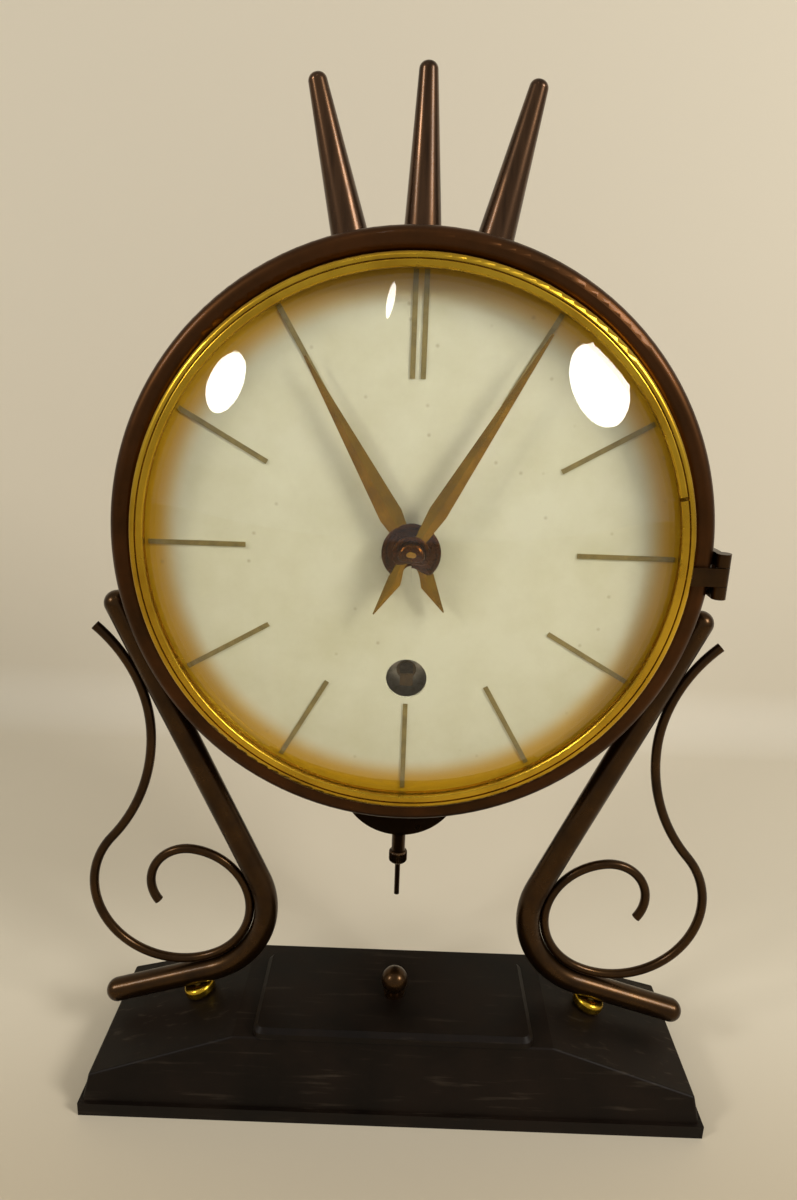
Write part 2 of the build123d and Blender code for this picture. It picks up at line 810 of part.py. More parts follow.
# Bezel hinge leaf with the middle knuckle, soldered to the bezel's edge
with BuildPart() as hinge_bezel_leaf:
    with BuildSketch(Plane.XY.offset(middle_low)):
        with Locations((hinge_x, hinge_y)):
            Circle(hinge_knuckle)
        with BuildLine():
            Polyline(
                (bezel_radius + seat_gap, hinge_leaf_front),
                (hinge_x, hinge_leaf_front),
                (hinge_x, hinge_leaf_front + hinge_leaf),
                (bezel_radius + seat_gap, hinge_leaf_front + hinge_leaf),
                close=True,
            )
        make_face()
    extrude(amount=middle_length)
    with BuildSketch(Plane.XY.offset(middle_low - overrun)):
        with Locations((hinge_x, hinge_y)):
            Circle(hinge_pin + running_gap)
    extrude(amount=middle_length + 2 * overrun, mode=Mode.SUBTRACT)
hinge_bezel_leaf.part.label = "hinge_bezel_leaf"
export_step(hinge_bezel_leaf.part, "parts/hinge_bezel_leaf.step")

# Fixed hinge leaf with the outer two knuckles, riveted to the shell
with BuildPart() as hinge_case_leaf:
    for start, length in (
        (hinge_low, middle_low - hinge_low - hinge_gap),
        (middle_low + middle_length + hinge_gap, hinge_high - middle_low - middle_length - hinge_gap),
    ):
        with BuildSketch(Plane.XY.offset(start)):
            with Locations((hinge_x, hinge_y)):
                Circle(hinge_knuckle)
            with BuildLine():
                Polyline(
                    (hinge_x - hinge_knuckle + running_gap, hinge_y),
                    (hinge_x, hinge_y),
                    (hinge_x, hinge_foot_front),
                    (hinge_x - hinge_knuckle + running_gap, hinge_foot_front),
                    close=True,
                )
            make_face()
        extrude(amount=length)
    with BuildSketch(Plane.XY.offset(hinge_low)):
        with BuildLine():
            Polyline(
                (hinge_foot_x, hinge_foot_front),
                (hinge_x, hinge_foot_front),
                (hinge_x - hinge_knuckle + hinge_leaf, hinge_foot_back),
                (hinge_foot_x, hinge_foot_back),
                close=True,
            )
        make_face()
    extrude(amount=hinge_length)
    with BuildSketch(Plane.XY.offset(hinge_low - overrun)):
        with Locations((hinge_x, hinge_y)):
            Circle(hinge_pin + seat_gap)
    extrude(amount=hinge_length + 2 * overrun, mode=Mode.SUBTRACT)
    with BuildSketch(Plane.YZ.offset(hinge_foot_x - overrun)):
        for side in (1, -1):
            with Locations((hinge_rivet_y, hinge_middle + side * hinge_rivet_z / 2)):
                Circle(hinge_rivet + seat_gap)
    extrude(amount=hinge_x, mode=Mode.SUBTRACT)
hinge_case_leaf.part.label = "hinge_case_leaf"
export_step(hinge_case_leaf.part, "parts/hinge_case_leaf.step")

with BuildPart() as hinge_pin_rod:
    with BuildSketch(Plane.XY.offset(hinge_low)):
        with Locations((hinge_x, hinge_y)):
            Circle(hinge_pin)
    extrude(amount=hinge_length)
hinge_pin_rod.part.label = "hinge_pin"
export_step(hinge_pin_rod.part, "parts/hinge_pin.step")

# Rivets of the fixed leaf, headed inside the shell
rivet_seat = math.sqrt(drum_inner**2 - (hub_height - hinge_low) ** 2) - hinge_rivet_cap
with BuildPart() as hinge_rivets:
    for side in (1, -1):
        with BuildSketch(Plane.YZ.offset(rivet_seat)):
            with Locations((hinge_rivet_y, hinge_middle + side * hinge_rivet_z / 2)):
                Circle(hinge_rivet)
        extrude(amount=hinge_foot_x + hinge_leaf - rivet_seat)
        with BuildSketch(Plane.YZ.offset(rivet_seat - hinge_rivet_cap)):
            with Locations((hinge_rivet_y, hinge_middle + side * hinge_rivet_z / 2)):
                Circle(hinge_rivet_head)
        extrude(amount=hinge_rivet_cap)
hinge_rivets.part.label = "hinge_rivets"
export_step(hinge_rivets.part, "parts/hinge_rivets.step")

# Domed glass
glass_edge = bezel_back - bezel_flange - glass_thick - seat_gap
glass_sphere = (glass_radius**2 + glass_rise**2) / (2 * glass_rise)
half_reach = glass_radius / 2
half_rise = math.sqrt(glass_sphere**2 - half_reach**2) - (glass_sphere - glass_rise)
with BuildPart() as glass:
    with BuildSketch(Plane.YZ):
        with BuildLine():
            outer_top = (glass_edge, hub_height + glass_radius)
            outer_mid = (glass_edge - half_rise, hub_height + half_reach)
            outer_tip = (glass_edge - glass_rise, hub_height)
            inner_top = (glass_edge + glass_thick, hub_height + glass_radius)
            inner_mid = (glass_edge + glass_thick - half_rise, hub_height + half_reach)
            inner_tip = (glass_edge + glass_thick - glass_rise, hub_height)
            ThreePointArc(outer_top, outer_mid, outer_tip)
            Line(outer_tip, inner_tip)
            ThreePointArc(inner_tip, inner_mid, inner_top)
            Line(inner_top, outer_top)
        make_face()
    revolve(axis=turning)
glass.part.label = "glass"
export_step(glass.part, "parts/glass.step")

# Split ring that keeps the glass in the bezel
with BuildPart() as retaining_ring:
    with BuildSketch(facing(ring_front + ring_thick)):
        Circle(ring_outer)
        Circle(ring_inner, mode=Mode.SUBTRACT)
        with Locations(Location((0, 0, 0), (0, 0, ring_split_angle))):
            with Locations((ring_outer, 0)):
                Rectangle(2 * (ring_outer - ring_inner) + ring_split, ring_split, mode=Mode.SUBTRACT)
    extrude(amount=ring_thick)
    ring_edges = retaining_ring.edges().filter_by(GeomType.CIRCLE).group_by(Axis.Y)[0]
    fillet(ring_edges, ring_round)
retaining_ring.part.label = "retaining_ring"
export_step(retaining_ring.part, "parts/retaining_ring.step")

# Dial plate
with BuildPart() as dial_plate:
    with BuildSketch(facing(dial_front + dial_thick)):
        Circle(dial_radius)
        Circle(dial_hole, mode=Mode.SUBTRACT)
        with Locations((0, -wind_drop)):
            Circle(wind_hole, mode=Mode.SUBTRACT)
    extrude(amount=dial_thick)
dial_plate.part.label = "dial_plate"
export_step(dial_plate.part, "parts/dial_plate.step")

# Hour lines, with a double line at twelve
with BuildPart() as hour_marks:
    with BuildSketch(facing(dial_front - seat_gap)):
        for hour in range(1, 12):
            with Locations(Location((0, 0, 0), (0, 0, -30 * hour))):
                with Locations((0, (mark_inner + mark_outer) / 2)):
                    Rectangle(mark_width, mark_outer - mark_inner)
        for side in (1, -1):
            with Locations((side * mark_double / 2, (mark_inner + mark_outer) / 2)):
                Rectangle(mark_width, mark_outer - mark_inner)
    extrude(amount=mark_rise)
hour_marks.part.label = "hour_marks"
export_step(hour_marks.part, "parts/hour_marks.step")

# Hands and their nut
with BuildPart() as hour_hand:
    with BuildSketch(facing(hour_back)):
        with Locations(Location((0, 0, 0), (0, 0, -hour_angle))):
            Polygon(*hand_points(hour_reach, hour_half, hour_tail), align=None)
        Circle(hand_boss)
        Circle(hour_pipe_radius + seat_gap, mode=Mode.SUBTRACT)
    extrude(amount=hour_thick)
hour_hand.part.label = "hour_hand"
export_step(hour_hand.part, "parts/hour_hand.step")

with BuildPart() as minute_hand:
    with BuildSketch(facing(minute_back)):
        with Locations(Location((0, 0, 0), (0, 0, -minute_angle))):
            Polygon(*hand_points(minute_reach, minute_half, minute_tail), align=None)
        Circle(minute_boss)
        Circle(cannon_radius + seat_gap, mode=Mode.SUBTRACT)
    extrude(amount=minute_thick)
minute_hand.part.label = "minute_hand"
export_step(minute_hand.part, "parts/minute_hand.step")

nut_front = minute_back - minute_thick - seat_gap
with BuildPart() as hand_nut:
    with BuildSketch(facing(nut_front)):
        Circle(hand_nut_radius)
    extrude(amount=hand_nut_height)
    fillet(hand_nut.edges().group_by(Axis.Y)[0], hand_nut_round)
    with BuildSketch(facing(nut_front + overrun)):
        Circle(centre_front_radius + seat_gap)
    extrude(amount=hand_nut_height + 2 * overrun, mode=Mode.SUBTRACT)
hand_nut.part.label = "hand_nut"
export_step(hand_nut.part, "parts/hand_nut.step")

# Movement plates
pillar_spots = [
    (pillar_x, pillar_low),
    (-pillar_x, pillar_low),
    (pillar_x, pillar_high),
    (-pillar_x, pillar_high),
]
plate_middle = (plate_low + plate_high) / 2
with BuildPart() as front_plate:
    with BuildSketch(facing(front_plate_y + plate_thick)):
        with Locations((0, plate_middle)):
            RectangleRounded(2 * plate_half, plate_high - plate_low, plate_corner)
        with Locations(*pillar_spots):
            Circle(pillar_end + seat_gap, mode=Mode.SUBTRACT)
        Circle(centre_front_radius + running_gap, mode=Mode.SUBTRACT)
        with Locations((0, -wind_drop)):
            Circle(wind_pivot_radius + running_gap, mode=Mode.SUBTRACT)
        with Locations(third_place, (0, escape_rise), (0, anchor_place)):
            Circle(pivot_radius + running_gap, mode=Mode.SUBTRACT)
        with Locations(stud_place):
            Circle(stud_radius + seat_gap, mode=Mode.SUBTRACT)
        with Locations((click_pivot_x, click_pivot_z)):
            Circle(click_pivot_radius + seat_gap, mode=Mode.SUBTRACT)
    extrude(amount=plate_thick)
front_plate.part.label = "front_plate"
export_step(front_plate.part, "parts/front_plate.step")

cock_screw_z = anchor_place + (cock_foot_low + cock_rise) / 2
with BuildPart() as back_plate:
    with BuildSketch(facing(back_plate_y + plate_thick)):
        with Locations((0, plate_middle)):
            RectangleRounded(2 * plate_half, plate_high - plate_low, plate_corner)
        with Locations(*pillar_spots):
            Circle(pillar_end + seat_gap, mode=Mode.SUBTRACT)
        with Locations((0, 0), third_place, (0, escape_rise)):
            Circle(pivot_radius + running_gap, mode=Mode.SUBTRACT)
        with Locations((0, -wind_drop)):
            Circle(wind_back_radius + running_gap, mode=Mode.SUBTRACT)
        with Locations((0, anchor_place)):
            Circle(arbor_radius + running_gap, mode=Mode.SUBTRACT)
        with Locations((cock_screw_x, cock_screw_z), (-cock_screw_x, cock_screw_z)):
            Circle(post_screw + seat_gap, mode=Mode.SUBTRACT)
    extrude(amount=plate_thick)
back_plate.part.label = "back_plate"
export_step(back_plate.part, "parts/back_plate.step")

# Pillars between the plates, their nuts, and the posts and screws that carry the movement on the ledge
front_plate_back = front_plate_y + plate_thick
with BuildPart() as pillars:
    with BuildSketch(facing(back_plate_y - seat_gap)):
        with Locations(*pillar_spots):
            Circle(pillar_radius)
    extrude(amount=back_plate_y - front_plate_back - 2 * seat_gap)
    with BuildSketch(facing(sheet_end + pillar_nut_height)):
        with Locations(*pillar_spots):
            Circle(pillar_end)
    extrude(amount=sheet_end + pillar_nut_height - front_plate_y)
pillars.part.label = "pillars"
export_step(pillars.part, "parts/pillars.step")

with BuildPart() as pillar_nuts:
    with BuildSketch(facing(sheet_end + seat_gap + pillar_nut_height)):
        with Locations(*pillar_spots):
            RegularPolygon(pillar_nut_radius, 6)
        with Locations(*pillar_spots):
            Circle(pillar_end + seat_gap, mode=Mode.SUBTRACT)
    extrude(amount=pillar_nut_height)
pillar_nuts.part.label = "pillar_nuts"
export_step(pillar_nuts.part, "parts/pillar_nuts.step")

ledge_back = ledge_front + ledge_thick
with BuildPart() as movement_posts:
    with BuildSketch(facing(front_plate_y - seat_gap)):
        with Locations(*pillar_spots):
            Circle(post_radius)
        with Locations(*pillar_spots):
            Circle(post_screw + seat_gap, mode=Mode.SUBTRACT)
    extrude(amount=front_plate_y - ledge_back - 2 * seat_gap)
movement_posts.part.label = "movement_posts"
export_step(movement_posts.part, "parts/movement_posts.step")

screw_front = ledge_front + seat_gap
with BuildPart() as movement_screws:
    with BuildSketch(facing(screw_front + post_screw_head_height - seat_gap)):
        with Locations(*pillar_spots):
            Circle(post_screw_head)
    extrude(amount=post_screw_head_height - seat_gap)
    with BuildSketch(facing(screw_front + post_screw_length)):
        with Locations(*pillar_spots):
            Circle(post_screw)
    extrude(amount=post_screw_length - post_screw_head_height / 2)
movement_screws.part.label = "movement_screws"
export_step(movement_screws.part, "parts/movement_screws.step")

# Going barrel with its toothed rim, cap and mainspring
barrel_back = barrel_y + barrel_length
barrel_inner = barrel_radius - barrel_wall
with BuildPart() as mainspring_barrel:
    with BuildSketch(facing(barrel_y + barrel_rim, z=-wind_drop)):
        Polygon(*tooth_points(barrel_teeth, barrel_module, 90.0), align=None)
    extrude(amount=barrel_rim)
    with BuildSketch(facing(barrel_back, z=-wind_drop)):
        Circle(barrel_radius)
    extrude(amount=barrel_length)
    with BuildSketch(facing(barrel_back + overrun, z=-wind_drop)):
        Circle(barrel_inner)
    extrude(amount=barrel_length + overrun - barrel_floor, mode=Mode.SUBTRACT)
    with BuildSketch(facing(barrel_back, z=-wind_drop)):
        Circle(wind_pivot_radius + running_gap)
    extrude(amount=barrel_length + overrun, mode=Mode.SUBTRACT)
mainspring_barrel.part.label = "mainspring_barrel"
export_step(mainspring_barrel.part, "parts/mainspring_barrel.step")

with BuildPart() as barrel_cap:
    with BuildSketch(facing(barrel_back, z=-wind_drop)):
        Circle(barrel_inner - seat_gap)
        Circle(wind_pivot_radius + running_gap, mode=Mode.SUBTRACT)
    extrude(amount=barrel_floor)
barrel_cap.part.label = "barrel_cap"
export_step(barrel_cap.part, "parts/barrel_cap.step")

spring_front = barrel_y + barrel_floor + spring_side_gap
spring_back = barrel_back - barrel_floor - spring_side_gap
spiral = []
for step in range(spring_turns * spring_steps + 1):
    gone = step / (spring_turns * spring_steps)
    spiral.append((spring_inner + (spring_outer - spring_inner) * gone, 360.0 * spring_turns * gone))
with BuildPart() as mainspring:
    with BuildSketch(facing(spring_back, z=-wind_drop)):
        with BuildLine():
            spring_out = Spline(*[polar(r + spring_thick / 2, a) for r, a in spiral])
            spring_in = Spline(*[polar(r - spring_thick / 2, a) for r, a in spiral])
            Line(spring_out @ 0, spring_in @ 0)
            Line(spring_out @ 1, spring_in @ 1)
        make_face()
    extrude(amount=spring_back - spring_front)
mainspring.part.label = "mainspring"
export_step(mainspring.part, "parts/mainspring.step")

# Winding arbor, ratchet wheel and click
arbor_front = barrel_y + barrel_floor + running_gap
arbor_back = barrel_back - barrel_floor - running_gap
with BuildPart() as winding_arbor:
    with BuildSketch(facing(ratchet_y, z=-wind_drop)):
        Rectangle(wind_square, wind_square)
    extrude(amount=ratchet_y - wind_square_front)
    with BuildSketch(facing(back_plate_y - arbor_end_gap, z=-wind_drop)):
        Circle(wind_pivot_radius)
    extrude(amount=back_plate_y - arbor_end_gap - ratchet_y)
    with BuildSketch(facing(arbor_back, z=-wind_drop)):
        Circle(wind_arbor_radius)
    extrude(amount=arbor_back - arbor_front)
    with BuildSketch(facing(sheet_end + pivot_show, z=-wind_drop)):
        Circle(wind_back_radius)
    extrude(amount=plate_thick + pivot_show + arbor_end_gap)
winding_arbor.part.label = "winding_arbor"
export_step(winding_arbor.part, "parts/winding_arbor.step")

with BuildPart() as ratchet_wheel:
    with BuildSketch(facing(ratchet_y + ratchet_thick, z=-wind_drop)):
        Polygon(
            *saw_points(ratchet_teeth, ratchet_radius, ratchet_depth, ratchet_lean_share, escape_tip_share, 0.0),
            align=None
        )
        Circle(wind_pivot_radius + seat_gap, mode=Mode.SUBTRACT)
    extrude(amount=ratchet_thick)
ratchet_wheel.part.label = "ratchet_wheel"
export_step(ratchet_wheel.part, "parts/ratchet_wheel.step")

nose_reach = ratchet_radius + click_nose_clear + click_half
nose_spot = polar(nose_reach, click_nose_angle)
click_nose = (nose_spot[0], nose_spot[1] - wind_drop)
click_back = ratchet_y + ratchet_thick
with BuildPart() as click:
    with BuildSketch(facing(click_back)):
        with BuildLine():
            Line((click_pivot_x, click_pivot_z), click_nose)
        trace(line_width=2 * click_half)
        with Locations(click_nose):
            Circle(click_half)
        with Locations((click_pivot_x, click_pivot_z)):
            Circle(click_boss)
            Circle(click_pivot_radius + running_gap, mode=Mode.SUBTRACT)
    extrude(amount=click_thick)
click.part.label = "click"
export_step(click.part, "parts/click.step")

click_cap_back = click_back - click_thick - running_gap
with BuildPart() as click_screw:
    with BuildSketch(facing(front_plate_back, x=click_pivot_x, z=click_pivot_z)):
        Circle(click_pivot_radius)
    extrude(amount=front_plate_back - click_cap_back)
    with BuildSketch(facing(click_cap_back, x=click_pivot_x, z=click_pivot_z)):
        Circle(click_screw_head)
    extrude(amount=click_screw_cap)
click_screw.part.label = "click_screw"
export_step(click_screw.part, "parts/click_screw.step")

# Centre wheel on the arbor that carries the hands
train_front = front_plate_back + arbor_end_gap
train_back = back_plate_y - arbor_end_gap
with BuildPart() as centre_wheel:
    with BuildSketch(facing(centre_wheel_y + wheel_thick)):
        Polygon(*tooth_points(centre_teeth, centre_module, third_angle), align=None)
    extrude(amount=wheel_thick)
    with BuildSketch(facing(barrel_y + pinion_length - pinion_lead / 2)):
        Polygon(*tooth_points(centre_pinion_teeth, barrel_module, 270.0 + 180.0 / centre_pinion_teeth), align=None)
    extrude(amount=pinion_length)
    with BuildSketch(facing(train_back)):
        Circle(arbor_radius)
    extrude(amount=train_back - train_front)
    with BuildSketch(facing(sheet_end + pivot_show)):
        Circle(pivot_radius)
    extrude(amount=plate_thick + pivot_show + arbor_end_gap)
    with BuildSketch(facing(train_front)):
        Circle(centre_front_radius)
    extrude(amount=train_front - nut_front + hand_nut_height - pivot_show)
centre_wheel.part.label = "centre_wheel"
export_step(centre_wheel.part, "parts/centre_wheel.step")

# Third wheel
with BuildPart() as third_wheel:
    with BuildSketch(facing(third_wheel_y + wheel_thick, third_place[0], third_place[1])):
        Polygon(*tooth_points(third_teeth, third_module, mesh_third), align=None)
    extrude(amount=wheel_thick)
    with BuildSketch(facing(centre_wheel_y + pinion_length - pinion_lead, third_place[0], third_place[1])):
        Polygon(
            *tooth_points(third_pinion_teeth, centre_module, third_angle + 180.0 + 180.0 / third_pinion_teeth),
            align=None
        )
    extrude(amount=pinion_length)
    with BuildSketch(facing(train_back, third_place[0], third_place[1])):
        Circle(arbor_radius)
    extrude(amount=train_back - train_front)
    with BuildSketch(facing(sheet_end + pivot_show, third_place[0], third_place[1])):
        Circle(pivot_radius)
    extrude(amount=sheet_end + pivot_show - front_plate_y)
third_wheel.part.label = "third_wheel"
export_step(third_wheel.part, "parts/third_wheel.step")

# Escape wheel
with BuildPart() as escape_wheel:
    with BuildSketch(facing(escape_wheel_y + wheel_thick, z=escape_rise)):
        Polygon(
            *saw_points(escape_teeth, escape_radius, escape_depth, escape_lean_share, escape_tip_share, 0.0),
            align=None
        )
    extrude(amount=wheel_thick)
    with BuildSketch(facing(third_wheel_y + pinion_length - pinion_lead, z=escape_rise)):
        Polygon(
            *tooth_points(escape_pinion_teeth, third_module, mesh_third + 180.0 + 180.0 / escape_pinion_teeth),
            align=None
        )
    extrude(amount=pinion_length)
    with BuildSketch(facing(train_back, z=escape_rise)):
        Circle(arbor_radius)
    extrude(amount=train_back - train_front)
    with BuildSketch(facing(sheet_end + pivot_show, z=escape_rise)):
        Circle(pivot_radius)
    extrude(amount=sheet_end + pivot_show - front_plate_y)
escape_wheel.part.label = "escape_wheel"
export_step(escape_wheel.part, "parts/escape_wheel.step")

# Anchor on its arbor, with the pallets held clear of the escape teeth
pallet_reach = escape_radius + anchor_clear + anchor_half
anchor_back = escape_wheel_y + (wheel_thick + anchor_thick) / 2
crutch_back = crutch_y + crutch_thick
with BuildPart() as anchor:
    with BuildSketch(facing(anchor_back)):
        for side in (1, -1):
            pallet_spot = polar(pallet_reach, 90.0 + side * anchor_span)
            pallet = (pallet_spot[0], pallet_spot[1] + escape_rise)
            with BuildLine():
                Line((0, anchor_place), pallet)
            trace(line_width=2 * anchor_half)
            with Locations(pallet):
                Circle(anchor_half)
        with Locations((0, anchor_place)):
            Circle(anchor_boss)
    extrude(amount=anchor_thick)
    with BuildSketch(facing(crutch_back + pivot_show, z=anchor_place)):
        Circle(arbor_radius)
    extrude(amount=crutch_back + pivot_show - train_front)
    with BuildSketch(facing(train_front, z=anchor_place)):
        Circle(pivot_radius)
    extrude(amount=train_front - front_plate_y)
anchor.part.label = "anchor"
export_step(anchor.part, "parts/anchor.step")

# Crutch: an arm on the anchor arbor with two pins that straddle the pendulum rod
crutch_low = anchor_place - crutch_length
pin_x = rod_radius + crutch_pin_gap + crutch_pin
with BuildPart() as crutch:
    with BuildSketch(facing(crutch_back)):
        with Locations((0, anchor_place - crutch_length / 2)):
            Rectangle(2 * crutch_half, crutch_length)
        with Locations((0, anchor_place)):
            Circle(anchor_boss)
        with Locations((0, crutch_low)):
            Rectangle(2 * (pin_x + crutch_half), 2 * crutch_half)
        with Locations((0, anchor_place)):
            Circle(arbor_radius + seat_gap, mode=Mode.SUBTRACT)
    extrude(amount=crutch_thick)
    with BuildSketch(facing(pendulum_y + crutch_pin_reach, z=crutch_low)):
        with Locations((pin_x, 0), (-pin_x, 0)):
            Circle(crutch_pin)
    extrude(amount=pendulum_y + crutch_pin_reach - crutch_back)
crutch.part.label = "crutch"
export_step(crutch.part, "parts/crutch.step")

# Motion work behind the dial
cannon_back = front_plate_y - free_gap
with BuildPart() as cannon_pinion:
    with BuildSketch(facing(minute_wheel_y + wheel_thick + pinion_lead / 2)):
        Polygon(*tooth_points(cannon_teeth, cannon_module, stud_angle), align=None)
    extrude(amount=wheel_thick + pinion_lead)
    with BuildSketch(facing(cannon_back)):
        Circle(cannon_radius)
    extrude(amount=cannon_back - minute_back + minute_thick)
    with BuildSketch(facing(cannon_back + overrun)):
        Circle(cannon_bore)
    extrude(amount=cannon_back - minute_back + minute_thick + 2 * overrun, mode=Mode.SUBTRACT)
cannon_pinion.part.label = "cannon_pinion"
export_step(cannon_pinion.part, "parts/cannon_pinion.step")

minute_pinion_front = hour_wheel_y - pinion_lead / 2
with BuildPart() as minute_wheel:
    with BuildSketch(facing(minute_wheel_y + wheel_thick, stud_place[0], stud_place[1])):
        Polygon(
            *tooth_points(minute_wheel_teeth, cannon_module, stud_angle + 180.0 + 180.0 / minute_wheel_teeth),
            align=None
        )
    extrude(amount=wheel_thick)
    with BuildSketch(facing(minute_wheel_y, stud_place[0], stud_place[1])):
        Polygon(*tooth_points(minute_pinion_teeth, hour_module, stud_angle + 180.0), align=None)
    extrude(amount=minute_wheel_y - minute_pinion_front)
    with BuildSketch(facing(minute_wheel_y + wheel_thick + overrun, stud_place[0], stud_place[1])):
        Circle(stud_radius + running_gap)
    extrude(amount=minute_wheel_y + wheel_thick + 2 * overrun - minute_pinion_front, mode=Mode.SUBTRACT)
minute_wheel.part.label = "minute_wheel"
export_step(minute_wheel.part, "parts/minute_wheel.step")

with BuildPart() as minute_stud:
    with BuildSketch(facing(front_plate_back, stud_place[0], stud_place[1])):
        Circle(stud_radius)
    extrude(amount=front_plate_back - minute_pinion_front + pivot_show)
    with BuildSketch(facing(front_plate_y - seat_gap, stud_place[0], stud_place[1])):
        Circle(stud_flange)
    extrude(amount=front_plate_y - minute_wheel_y - wheel_thick - running_gap - seat_gap)
minute_stud.part.label = "minute_stud"
export_step(minute_stud.part, "parts/minute_stud.step")

with BuildPart() as hour_wheel:
    with BuildSketch(facing(hour_wheel_y + wheel_thick)):
        Polygon(
            *tooth_points(hour_wheel_teeth, hour_module, stud_angle + 180.0 / hour_wheel_teeth),
            align=None
        )
    extrude(amount=wheel_thick)
    with BuildSketch(facing(hour_wheel_y + wheel_thick)):
        Circle(hour_pipe_radius)
    extrude(amount=hour_wheel_y + wheel_thick - hour_back + hour_thick)
    with BuildSketch(facing(hour_wheel_y + wheel_thick + overrun)):
        Circle(hour_pipe_bore)
    extrude(amount=hour_wheel_y + wheel_thick - hour_back + hour_thick + 2 * overrun, mode=Mode.SUBTRACT)
hour_wheel.part.label = "hour_wheel"
export_step(hour_wheel.part, "parts/hour_wheel.step")

# Pendulum cock on the back plate, with the pin the pendulum hangs from
cock_front = sheet_end + seat_gap
cock_top = anchor_place + cock_rise + cock_thick
with BuildPart() as pendulum_cock:
    with BuildSketch(facing(cock_front + cock_thick)):
        with Locations((0, (anchor_place + cock_foot_low + cock_top) / 2)):
            Rectangle(2 * cock_foot_half, cock_top - anchor_place - cock_foot_low)
        with Locations((cock_screw_x, cock_screw_z), (-cock_screw_x, cock_screw_z)):
            Circle(post_screw + seat_gap, mode=Mode.SUBTRACT)
    extrude(amount=cock_thick)
    with BuildSketch(facing(cock_back)):
        with Locations((0, anchor_place + cock_rise + cock_thick / 2)):
            Rectangle(cock_width, cock_thick)
    extrude(amount=cock_back - cock_front)
    with BuildSketch(facing(cock_back)):
        with Locations((0, (anchor_place + cock_top) / 2)):
            Rectangle(cock_width, cock_top - anchor_place)
        with Locations((0, anchor_place)):
            Circle(cock_width / 2)
    extrude(amount=cock_thick)
    with BuildSketch(facing(cock_back, z=anchor_place)):
        Circle(cock_pin)
    extrude(amount=cock_back - cock_pin_front)
pendulum_cock.part.label = "pendulum_cock"
export_step(pendulum_cock.part, "parts/pendulum_cock.step")

cock_head_front = cock_front + cock_thick + seat_gap
with BuildPart() as cock_screws:
    with BuildSketch(facing(cock_head_front + post_screw_head_height)):
        with Locations((cock_screw_x, cock_screw_z), (-cock_screw_x, cock_screw_z)):
            Circle(post_screw_head)
    extrude(amount=post_screw_head_height)
    with BuildSketch(facing(cock_head_front)):
        with Locations((cock_screw_x, cock_screw_z), (-cock_screw_x, cock_screw_z)):
            Circle(post_screw)
    extrude(amount=cock_head_front - back_plate_y)
cock_screws.part.label = "cock_screws"
export_step(cock_screws.part, "parts/cock_screws.step")

# Pendulum: rod with an eye, bob, sleeve and rating nut
rod_top = anchor_place - (rod_eye + cock_pin) / 2
with BuildPart() as pendulum_rod:
    with BuildSketch(Plane(origin=(0, pendulum_y, hub_height + rod_end), z_dir=(0, 0, 1))):
        Circle(rod_radius)
    extrude(amount=rod_top - rod_end)
    with BuildSketch(facing(pendulum_y + rod_eye_thick / 2, z=anchor_place)):
        Circle(rod_eye)
    extrude(amount=rod_eye_thick)
    with BuildSketch(facing(pendulum_y + rod_eye_thick, z=anchor_place)):
        Circle(cock_pin + running_gap)
    extrude(amount=2 * rod_eye_thick, mode=Mode.SUBTRACT)
pendulum_rod.part.label = "pendulum_rod"
export_step(pendulum_rod.part, "parts/pendulum_rod.step")

bob_height = hub_height + bob_drop
bob_rise = bob_half - bob_edge
bob_sphere = (bob_radius**2 + bob_rise**2) / (2 * bob_rise)
bob_swell = bob_edge + math.sqrt(bob_sphere**2 - bob_radius**2 / 4) - (bob_sphere - bob_rise)
with BuildPart() as pendulum_bob:
    with BuildSketch(Plane.YZ):
        with BuildLine():
            front_tip = (pendulum_y - bob_half, bob_height)
            front_rim = (pendulum_y - bob_edge, bob_height + bob_radius)
            back_tip = (pendulum_y + bob_half, bob_height)
            back_rim = (pendulum_y + bob_edge, bob_height + bob_radius)
            ThreePointArc(front_tip, (pendulum_y - bob_swell, bob_height + bob_radius / 2), front_rim)
            Line(front_rim, back_rim)
            ThreePointArc(back_rim, (pendulum_y + bob_swell, bob_height + bob_radius / 2), back_tip)
            Line(back_tip, front_tip)
        make_face()
    revolve(axis=Axis((0, 0, bob_height), (0, 1, 0)))
    with BuildSketch(Plane(origin=(0, pendulum_y, bob_height - bob_radius - overrun), z_dir=(0, 0, 1))):
        Circle(bob_bore)
    extrude(amount=2 * (bob_radius + overrun), mode=Mode.SUBTRACT)
pendulum_bob.part.label = "pendulum_bob"
export_step(pendulum_bob.part, "parts/pendulum_bob.step")

sleeve_top = bob_drop - bob_radius - seat_gap
with BuildPart() as bob_sleeve:
    with BuildSketch(Plane(origin=(0, pendulum_y, hub_height + sleeve_low), z_dir=(0, 0, 1))):
        Circle(sleeve_radius)
        Circle(bob_bore, mode=Mode.SUBTRACT)
    extrude(amount=sleeve_top - sleeve_low)
bob_sleeve.part.label = "bob_sleeve"
export_step(bob_sleeve.part, "parts/bob_sleeve.step")

nut_low = sleeve_low - running_gap - nut_height
with BuildPart() as rating_nut:
    with BuildSketch(Plane(origin=(0, pendulum_y, hub_height + nut_low), z_dir=(0, 0, 1))):
        Circle(nut_radius)
    extrude(amount=nut_height)
    fillet(rating_nut.edges(), nut_round)
    with BuildSketch(Plane(origin=(0, pendulum_y, hub_height + nut_low - overrun), z_dir=(0, 0, 1))):
        Circle(nut_bore)
    extrude(amount=nut_height + 2 * overrun, mode=Mode.SUBTRACT)
rating_nut.part.label = "rating_nut"
export_step(rating_nut.part, "parts/rating_nut.step")
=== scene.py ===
"""Looks of a key-wound table clock: bronze drum on scroll legs, black base, pendulum behind the drum."""

